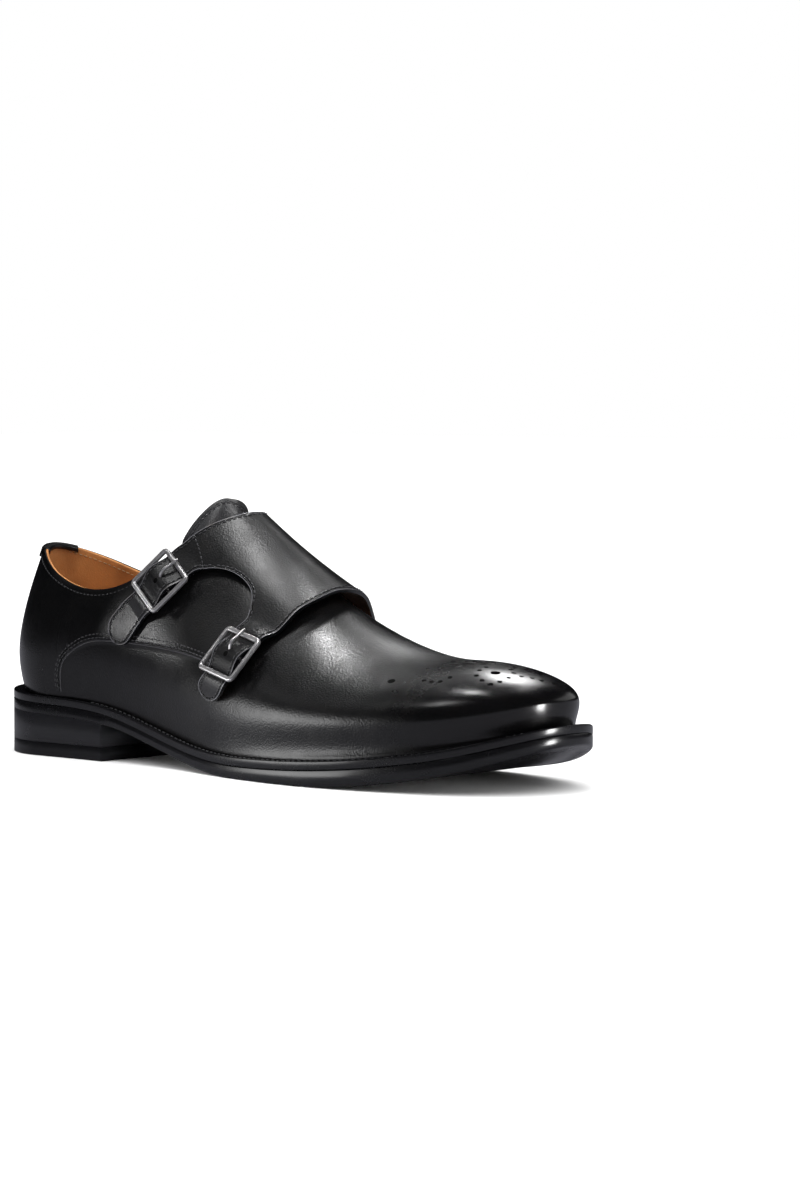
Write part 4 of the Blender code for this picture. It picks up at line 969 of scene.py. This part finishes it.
def tube(path, side, radius, around=14):
    """Points and faces of a round bar along a path; side is square to all its bends."""
    path, side = np.array(path, float), np.array(side, float)
    raised = unit(np.cross(unit(np.gradient(path, axis=0)), side))
    angles = np.linspace(0, 2 * np.pi, around, endpoint=False)[None, :, None]
    radius = np.broadcast_to(np.asarray(radius, float), len(path))[:, None, None]
    rings = path[:, None, :] + (side * np.cos(angles) + raised[:, None, :] * np.sin(angles)) * radius
    faces = grid_faces(len(path), around, closed=True).tolist()
    faces += [list(range(around)), list(range(around * (len(path) - 1), around * len(path)))]
    return rings.reshape(-1, 3), faces


def in_axes(points, centre, along, across, facing):
    """Points given along, across and off a buckle, moved to its place on the shoe."""
    points = np.asarray(points, float)
    return centre + points[..., :1] * along + points[..., 1:2] * across + points[..., 2:] * facing


width, height = BUCKLE_BAR
end, drop = BUCKLE_LENGTH / 2, CENTRE_BAR_DROP
# A frame follows a rectangle with rounded corners.
quarter, k = np.divmod(np.arange(4 * (CORNER_STEPS + 1)), CORNER_STEPS + 1)
angle = (quarter + k / CORNER_STEPS) * np.pi / 2
outward = np.stack([np.cos(angle), np.sin(angle)], axis=-1)
corner_angle = (quarter + 0.5) * np.pi / 2
signs = np.sign(np.stack([np.cos(corner_angle), np.sin(corner_angle)], axis=-1))
corner = BUCKLE_CORNER - width / 2
half_sides = np.array([BUCKLE_LENGTH - width, BUCKLE_WIDTH - width]) / 2
path = signs * (half_sides - corner) + outward * corner
frame_rings = np.array([np.column_stack([path + outward * a * width, np.full(len(path), b * height)])
                        for a, b in FRAME_SECTION])
frame_faces = grid_faces(*frame_rings.shape[:2], closed=True, looped=True).tolist()
reach = (BUCKLE_WIDTH - width) / 2
half_bar = [(0, reach, 0), (0, reach - 0.9, -0.15 * drop), (0, reach - 1.6, -0.8 * drop),
            (0, reach - 2.6, -drop)]
bar, bar_faces = tube(half_bar + [(x, -y, z) for x, y, z in reversed(half_bar)], (1, 0, 0),
                      CENTRE_BAR_RADIUS)
frame_points = np.concatenate([frame_rings.reshape(-1, 3), bar])
frame_faces += [[frame_rings.size // 3 + v for v in face] for face in bar_faces]

over = height / 2 + PRONG_RADIUS
route = np.array((
    (0.4, 0, -drop + 1.0), (-1.6, 0, 1.2), (-3.2, 0, 2.6), (-5.4, 0, 2.9), (-7.6, 0, 2.3),
    (-end + 1.2, 0, over + 0.15), (-end - 0.2, 0, over - 0.05), (-end - 1.0, 0, over - 0.35)))
share = np.linspace(0, 1, 40)
prong_points, prong_faces = tube(
    smooth_line(route, run_of(route), share * run_of(route)[-1]), (0, 1, 0),
    PRONG_RADIUS * (1 - 0.35 * share**2))

turn = CENTRE_BAR_RADIUS + GAP + 0.3        # from the bar's middle to the loop's
loop = [(0.9 * end, -drop - turn - 0.9), (0.40 * end, -drop - turn - 0.7),
        (0.22 * end, -drop - turn - 0.2)]
loop += [(-turn * np.cos(a), turn * np.sin(a) - drop) for a in np.linspace(-0.5, 0.5, 13) * np.pi]
loop = np.array(loop + [(0.12 * end, turn * 0.8 - drop), (0.3 * end, -drop - 0.1)])
loop_points = np.stack([np.column_stack([loop[:, 0], np.full(len(loop), y), loop[:, 1]])
                        for y in np.linspace(-LOOP_HALF_WIDTH, LOOP_HALF_WIDTH, 7)])
loop_faces = grid_faces(*loop_points.shape[:2])

for name, *pose in BUCKLES:
    axes = buckle_axes(*pose)
    add_piece("buckle_frame_" + name, in_axes(frame_points, *axes), frame_faces,
              [nickel])
    add_piece("buckle_prong_" + name, in_axes(prong_points, *axes), prong_faces,
              [nickel])
    thicken(add_piece("buckle_tab_" + name, in_axes(loop_points, *axes), loop_faces,
                      [loop_calf]), LOOP_THICKNESS, 0)


# ---- stitching -------------------------------------------------------------------------------
# Lockstitched waxed thread, about ten stitches to 25 mm: double rows behind the quarters' seam,
# single rows round the collar, the flap, the straps, the tongue and the welt.
PITCH, THREAD_RADIUS = 2.3, 0.27
WELT_PITCH, WELT_THREAD_RADIUS = 3.0, 0.3
SEAT = 0.05                 # how far a stitch's middle stands over the leather
EDGE_MARGIN = 1.7           # from the flap's cut edge to its row of stitches
COLLAR_MARGIN, LINING_MARGIN, TONGUE_MARGIN, WELT_MARGIN = 1.9, 1.7, 3.0, 2.3
SEAM_ROW_MARGINS = (1.2, 2.6)
WELT_ROW_START, WELT_ROW_END = 66, 297


def thread_group():
    """Waxed thread: two plies twisted round each other, a little fuzz."""
    group, given = effect_group("waxed_thread", Shade="Color", Gloss="Float")
    turn = node(group, "Attribute", {"attribute_name": "twist"}).outputs["Fac"]
    plies = maths(group, "ABSOLUTE", maths(group, "SINE", times(group, turn, 12.0)))
    fuzz = noise(group, millimetres(group), 5.0, 2.0)
    tone = blend_colours(group, plies, (0.6, 0.6, 0.6), (1.1, 1.1, 1.1))
    return finish_group(group, tinted(group, tone, given["Shade"]),
                        times(group, fuzz, 0.15, plus=given["Gloss"]),
                        times(group, fuzz, 0.02, plus=times(group, plies, 0.06)))


waxed_thread = thread_group()
black_thread = finish_material("black thread", waxed_thread,
                               Shade=(0.035, 0.035, 0.038, 1), Gloss=0.42)
tan_thread = finish_material("tan thread", waxed_thread, Shade=(0.45, 0.28, 0.14, 1), Gloss=0.5)


def stitch_row(path, facing, pitch=PITCH, radius=THREAD_RADIUS):
    """Stitches along a path: beads of pointed ends drawn into the leather; also their twist."""
    knots = run_of(path)
    centres = np.arange(pitch / 2, knots[-1] - pitch / 3, pitch)

    def along_path(values, t):
        """Values of the path's points at the lengths t along it."""
        return np.stack([np.interp(t, knots, column) for column in np.transpose(values)], axis=-1)
    middle = along_path(path, centres)
    along = unit(along_path(path, centres + 0.4) - along_path(path, centres - 0.4))
    up = along_path(facing, centres)
    up = unit(up - along * np.sum(up * along, axis=-1, keepdims=True))
    side = np.cross(up, along)
    stops = np.array([-0.5, -0.36, 0.0, 0.36, 0.5])[None, :, None, None] * 0.78 * pitch
    girth = np.array([0.0, 0.85, 1.0, 0.85, 0.0])[None, :, None, None] * radius
    lift = np.array([-0.6, 0.2, 0.45, 0.2, -0.6])[None, :, None, None] * radius
    angles = (np.arange(6) * np.pi / 3)[None, None, :, None]
    points = (middle[:, None, None] + along[:, None, None] * stops
              + side[:, None, None] * np.cos(angles) * girth
              + up[:, None, None] * (np.sin(angles) * girth + lift))
    count = len(centres)
    faces = grid_faces(5, 6, closed=True)[None] + 5 * 6 * np.arange(count)[:, None, None]
    twist = np.broadcast_to(stops / radius * 0.12 + angles / (2 * np.pi) * 0.52, (count, 5, 6, 1))
    return points.reshape(-1, 3), faces.reshape(-1, 4), twist.reshape(-1)


def add_stitching(name, rows, finish):
    """One piece of several rows of stitches, each a (path, facing) pair."""
    points, faces, twist = zip(*(stitch_row(*row) for row in rows))
    starts = np.cumsum([0] + [len(row) for row in points[:-1]])
    faces = np.concatenate([row + start for row, start in zip(faces, starts)])
    add_piece(name, np.concatenate(points), faces, [finish], in_cad=False,
              facts={"twist": np.concatenate(twist)})


def on_upper(x, place, out=SEAT):
    """Path on the upper's outer face, raised by out, and its facing."""
    facing = last_normal(x, place)
    return last(x, place) + facing * np.reshape(out, (-1, 1)), facing


row_x, row_rise = seam_x[4:380], rise_of(seam_y[4:380])
along = unit(np.stack([np.gradient(row_x), np.gradient(row_rise)], axis=-1))
upper_rows = []
for distance in SEAM_ROW_MARGINS:           # up and back from the quarters' edge
    x, place = row_x - along[:, 1] * distance, place_of(row_rise + along[:, 0] * distance)
    proud = SEAM_STEP * np.exp(-distance / SEAM_FADE) * seam_start(row_x) + SEAT
    upper_rows += [on_upper(x, place, proud), on_upper(x, 2 - place, proud)]
collar_x = np.linspace(118, 1.2, 150)
lining_rows = []
for opening_of, way in ((opening_lateral, -1), (opening_medial, 1)):
    collar = opening_of(collar_x)
    upper_rows.append(on_upper(collar_x, collar + way * COLLAR_MARGIN / OVER_GIRTH))
    path, facing = on_upper(collar_x, collar + way * LINING_MARGIN / OVER_GIRTH, -WALL - SEAT)
    lining_rows.append((path, -facing))
add_stitching("upper_stitching", upper_rows, black_thread)
add_stitching("lining_stitching", lining_rows, tan_thread)

place = np.linspace(0.60, 1.46, 120)
x = tongue_top(place) + TONGUE_MARGIN
facing = last_normal(x, place)
add_stitching("tongue_stitching", [(tongue_surface(place, x) + facing * SEAT, facing)],
              black_thread)


def row_at(grid, distance, from_last=False):
    """Line resting on a grid of points, distance inside its first or last row, with its facing."""
    if from_last:
        grid = grid[::-1]
    across = np.cumsum(np.linalg.norm(np.diff(grid, axis=0), axis=-1), axis=0)
    place = np.argmax(across >= distance, axis=0)
    c = np.arange(grid.shape[1])
    before = np.where(place > 0, across[np.maximum(place - 1, 0), c], 0)
    share = np.clip((distance - before) / np.maximum(across[place, c] - before, 1e-6), 0, 1)[:, None]
    line = grid[place, c] * (1 - share) + grid[place + 1, c] * share
    facing = unit(np.cross(np.gradient(grid, axis=1), np.gradient(grid, axis=0)))[place, c]
    facing = facing if np.sum(facing[:, 2]) > 0 else -facing
    return line + facing * SEAT, facing


def strap_round(grid):
    """Line round a strap's two sides and its tip."""
    width = np.linalg.norm(grid[0] - grid[-1], axis=-1)
    stop = int(np.argmax(width < 2.6 * EDGE_MARGIN)) or grid.shape[1] - 2
    sides = row_at(grid[:, :stop], EDGE_MARGIN), row_at(grid[:, :stop], EDGE_MARGIN, from_last=True)
    return [np.concatenate([there, back[::-1]]) for there, back in zip(*sides)]


flap_rows = [row_at(flap[name], EDGE_MARGIN, from_last)
             for name in ("body", "top", "upper_root", "lower_root") for from_last in (False, True)]
arch_edge = flap["top"].transpose(1, 0, 2)[:, THIRD:2 * THIRD + 1]
medial_hem = flap["body"].transpose(1, 0, 2)[:, 3:-3]
flap_rows += [strap_round(flap["upper_strap"]), strap_round(flap["lower_strap"]),
              row_at(arch_edge, EDGE_MARGIN, from_last=True), row_at(medial_hem, EDGE_MARGIN),
              row_at(medial_hem, 2.2 * EDGE_MARGIN)]
root = flap["upper_root"]                   # where the upper strap's backing ends
step = np.arange(THIRD + 1)
cross_facing = np.broadcast_to(row_at(root, 5.0)[1][2], (THIRD + 1, 3))
cross_line = root[step, 0] + (root[step, 4] - root[step, 0]) * step[:, None] / THIRD
flap_rows.append((cross_line + cross_facing * SEAT, cross_facing))
add_stitching("strap_stitching", flap_rows, black_thread)

x = np.linspace(WELT_ROW_START, WELT_ROW_END, 400)
upwards = np.broadcast_to([0.0, 0.0, 1.0], (len(x), 3))
add_stitching("welt_stitching", [
    (np.stack([x, side * (half(x) - WELT_MARGIN) * toe_rounding(x), sole_top(x) - 0.3], axis=-1),
     upwards, WELT_PITCH, WELT_THREAD_RADIUS)
    for side, half in ((-1, half_lateral), (1, half_medial))], black_thread)


# ---- perforations ----------------------------------------------------------------------------
# Punched holes drawn as near-black dishes of painted shade: a medallion on the toe, a trail from
# it towards the vamp, one larger hole on each wing, and the free holes of the straps.
PIERCED = (                 # x, place, radius
    (275.5, 0.77, 1.75),
    (268.5, 0.76, 0.9), (271.5, 0.66, 0.9), (276.5, 0.60, 0.9), (281.5, 0.56, 0.9),
    (283, 0.63, 0.9), (283, 0.74, 0.9), (280.5, 0.86, 0.9), (276.5, 0.92, 0.9),
    (267.5, 0.84, 0.9),
    (285, 0.84, 0.8), (288.5, 0.89, 0.8), (292, 0.93, 0.8), (295.5, 1.04, 0.7), (284.5, 1.09, 0.8),
    (254, 0.51, 0.9), (258, 0.50, 0.9), (261.5, 0.51, 0.9), (263, 0.58, 0.9),
    (239.5, 0.49, 1.45), (239.5, 1.51, 1.45),
)
HOLE_PAST_BAR = 1.2         # from the centre bar to the strap's free hole
STRAP_HOLE_RADIUS = 0.95


def painted_shade_group():
    """Painted shade for the inside of a hole: near black, fuzzy and almost without light."""
    group, given = effect_group("hole_painted_shade", Shade="Color")
    fibres = noise(group, millimetres(group), 6.0, 2.0)
    tone = blend_colours(group, fibres, (0.5, 0.5, 0.5), (1.0, 1.0, 1.0))
    return finish_group(group, tinted(group, tone, given["Shade"]),
                        ramp(group, fibres, 0.3, 0.7, 0.85, 1.0), times(group, fibres, 0.05))


# The holes' near-black colour is painted shade for their insides.
hole_shade_finish = finish_material("painted shade in holes", painted_shade_group(), specular=0.05,
                             Shade=(0.002, 0.002, 0.002, 1))


def add_holes(name, centres, facing, along, radii):
    """Shallow dishes with a soft rim: rings of radius r at heights h, closed at the middle."""
    reach = np.array([0.0, 0.55, 0.86, 1.0, 1.12, 1.2])[None, :, None, None]
    height = np.array([0.05, 0.05, 0.07, 0.10, 0.07, -0.12])[None, :, None, None]
    angles = (np.arange(16) * np.pi / 8)[None, None, :, None]
    side = np.cross(facing, along)
    radii = np.asarray(radii)[:, None, None, None]
    spoke = along[:, None, None] * np.cos(angles) + side[:, None, None] * np.sin(angles)
    points = centres[:, None, None] + facing[:, None, None] * height + spoke * reach * radii
    faces = grid_faces(6, 16, closed=True)[None] + 6 * 16 * np.arange(len(centres))[:, None, None]
    add_piece(name, points, faces.reshape(-1, 4), [hole_shade_finish], in_cad=False)


x, place, radii = np.array(PIERCED).T
add_holes("toe_medallion", last(x, place), last_normal(x, place),
          unit(last(x + 0.5, place) - last(x - 0.5, place)), radii)

strap_holes = []
for name, *pose in BUCKLES:
    centre, along, across, facing = buckle_axes(*pose)
    grid = flap[name + "_strap"]
    middle = grid[THIRD // 2]
    i = int(np.argmin(np.abs(np.sum((middle - centre) * along, axis=-1) - HOLE_PAST_BAR)))
    way = unit(middle[i + 1] - middle[i - 1])
    out = unit(np.cross(grid[THIRD // 2 + 2, i] - grid[THIRD // 2 - 2, i], way))
    strap_holes.append((middle[i], out * -np.sign(out[1]), way))
centres, facings, ways = np.array(strap_holes).transpose(1, 0, 2)
add_holes("strap_holes", centres, facings, ways, [STRAP_HOLE_RADIUS] * len(centres))


# ---- floor, light and camera -----------------------------------------------------------------
# A plain white floor under an even ceiling light that only the floor takes; in the polished
# leather it shows dark, so that the highlights are those of small soft boxes with narrow grids.
SOFT_BOXES = (              # name, position, target, width and height, power, angle of its grid
    ("back box", (-95, 300, 430), (240, -10, 50), (260, 220), 0.070, 180),
    ("toe strip", (40, 388, 412), (327, -8, 42), (150, 320), 0.019, 13),
    ("vamp box", (108, 48, 327), (196, -24, 58), (90, 90), 0.0100, 11),
    ("ridge box", (99, 236, 370), (190, 0, 60), (120, 120), 0.0022, 16),
    ("flap box", (118, -130, 373), (148, -24, 92), (130, 130), 0.030, 30),
    ("low box", (120, -139, 30), (200, -50, 22), (130, 56), 0.026, 80),
    ("toe card", (380, 8, 22), (300, -10, 27), (20, 34), 0.007, 50),
    ("far box", (380, 400, 200), (150, 20, 50), (350, 200), 0.15, 180),
    ("strap spot", (15, -99, 88), (100, -35, 60), (24, 24), 0.0003, 12),
    ("tongue box", (319, 59, 392), (122, -1, 105), (120, 120), 0.022, 20),
    ("buckle box", (-134, -221, 335), (130, -37, 65), (130, 130), 0.0010, 24),
)
CAMERA_AZIMUTH, CAMERA_ELEVATION = np.radians(42.4), np.radians(3.95)
CAMERA_AIM, CAMERA_DISTANCE = np.array([150.0, 0.0, 50.0]), 1600
FLOOR_HALF = 8.0            # metres

white = bpy.data.materials.new("studio floor")
white.use_nodes = True
shader = white.node_tree.nodes["Principled BSDF"]
mirrored = node(white.node_tree, "LightPath").outputs["Is Glossy Ray"]
paint = blend_colours(white.node_tree, mirrored, (0.92, 0.92, 0.92), (0.18, 0.18, 0.20))
white.node_tree.links.new(paint, shader.inputs["Base Color"])
shader.inputs["Roughness"].default_value = 0.9
shader.inputs["Specular IOR Level"].default_value = 0.0
floor_mesh = bpy.data.meshes.new("floor")
corners = ((-1, -1), (1, -1), (1, 1), (-1, 1))
floor_mesh.from_pydata([(FLOOR_HALF * a, FLOOR_HALF * b, 0) for a, b in corners],
                       [], [(0, 1, 2, 3)])
floor_mesh.materials.append(white)
put_in_scene("floor", floor_mesh)

world = bpy.data.worlds.new("studio")
world.use_nodes = True
tree = world.node_tree
rays = node(tree, "LightPath").outputs
dim = blend_colours(tree, rays["Is Diffuse Ray"], (0.004, 0.004, 0.005), (0.6, 0.6, 0.6))
tree.links.new(blend_colours(tree, rays["Is Camera Ray"], dim, (1.0, 1.0, 1.0)),
               tree.nodes["Background"].inputs["Color"])
bpy.context.scene.world = world


def place_metres(point):
    """A point in millimetres moved to the frame, in metres."""
    return Vector([float(v) for v in (np.array(point, float) - ORIGIN) * MM])


for name, position, target, size, power, grid_angle in SOFT_BOXES:
    light = bpy.data.lights.new(name, "AREA")
    light.shape = "RECTANGLE"
    light.size, light.size_y = size[0] * MM, size[1] * MM
    light.energy = power
    light.spread = np.radians(grid_angle)
    box = put_in_scene(name, light)
    box.location = place_metres(position)
    box.rotation_euler = (place_metres(target) - box.location).to_track_quat("-Z", "Y").to_euler()
    box.visible_camera = False
ceiling = bpy.data.lights.new("ceiling", "SUN")
ceiling.energy = 3.6
ceiling.angle = np.radians(115)
put_in_scene("ceiling", ceiling).visible_glossy = False

lens = bpy.data.cameras.new("camera")
lens.lens, lens.sensor_width = 114.4, 36.0
lens.shift_x, lens.shift_y = 0.0963, 0.0407
camera = put_in_scene("camera", lens)
back = np.array([np.sin(CAMERA_AZIMUTH) * np.cos(CAMERA_ELEVATION),
                 -np.cos(CAMERA_AZIMUTH) * np.cos(CAMERA_ELEVATION), np.sin(CAMERA_ELEVATION)])
camera.location = place_metres(CAMERA_AIM + back * CAMERA_DISTANCE)
camera.rotation_euler = Vector(back).to_track_quat("Z", "Y").to_euler()
bpy.context.scene.camera = camera
bpy.context.scene.view_settings.view_transform = "Standard"
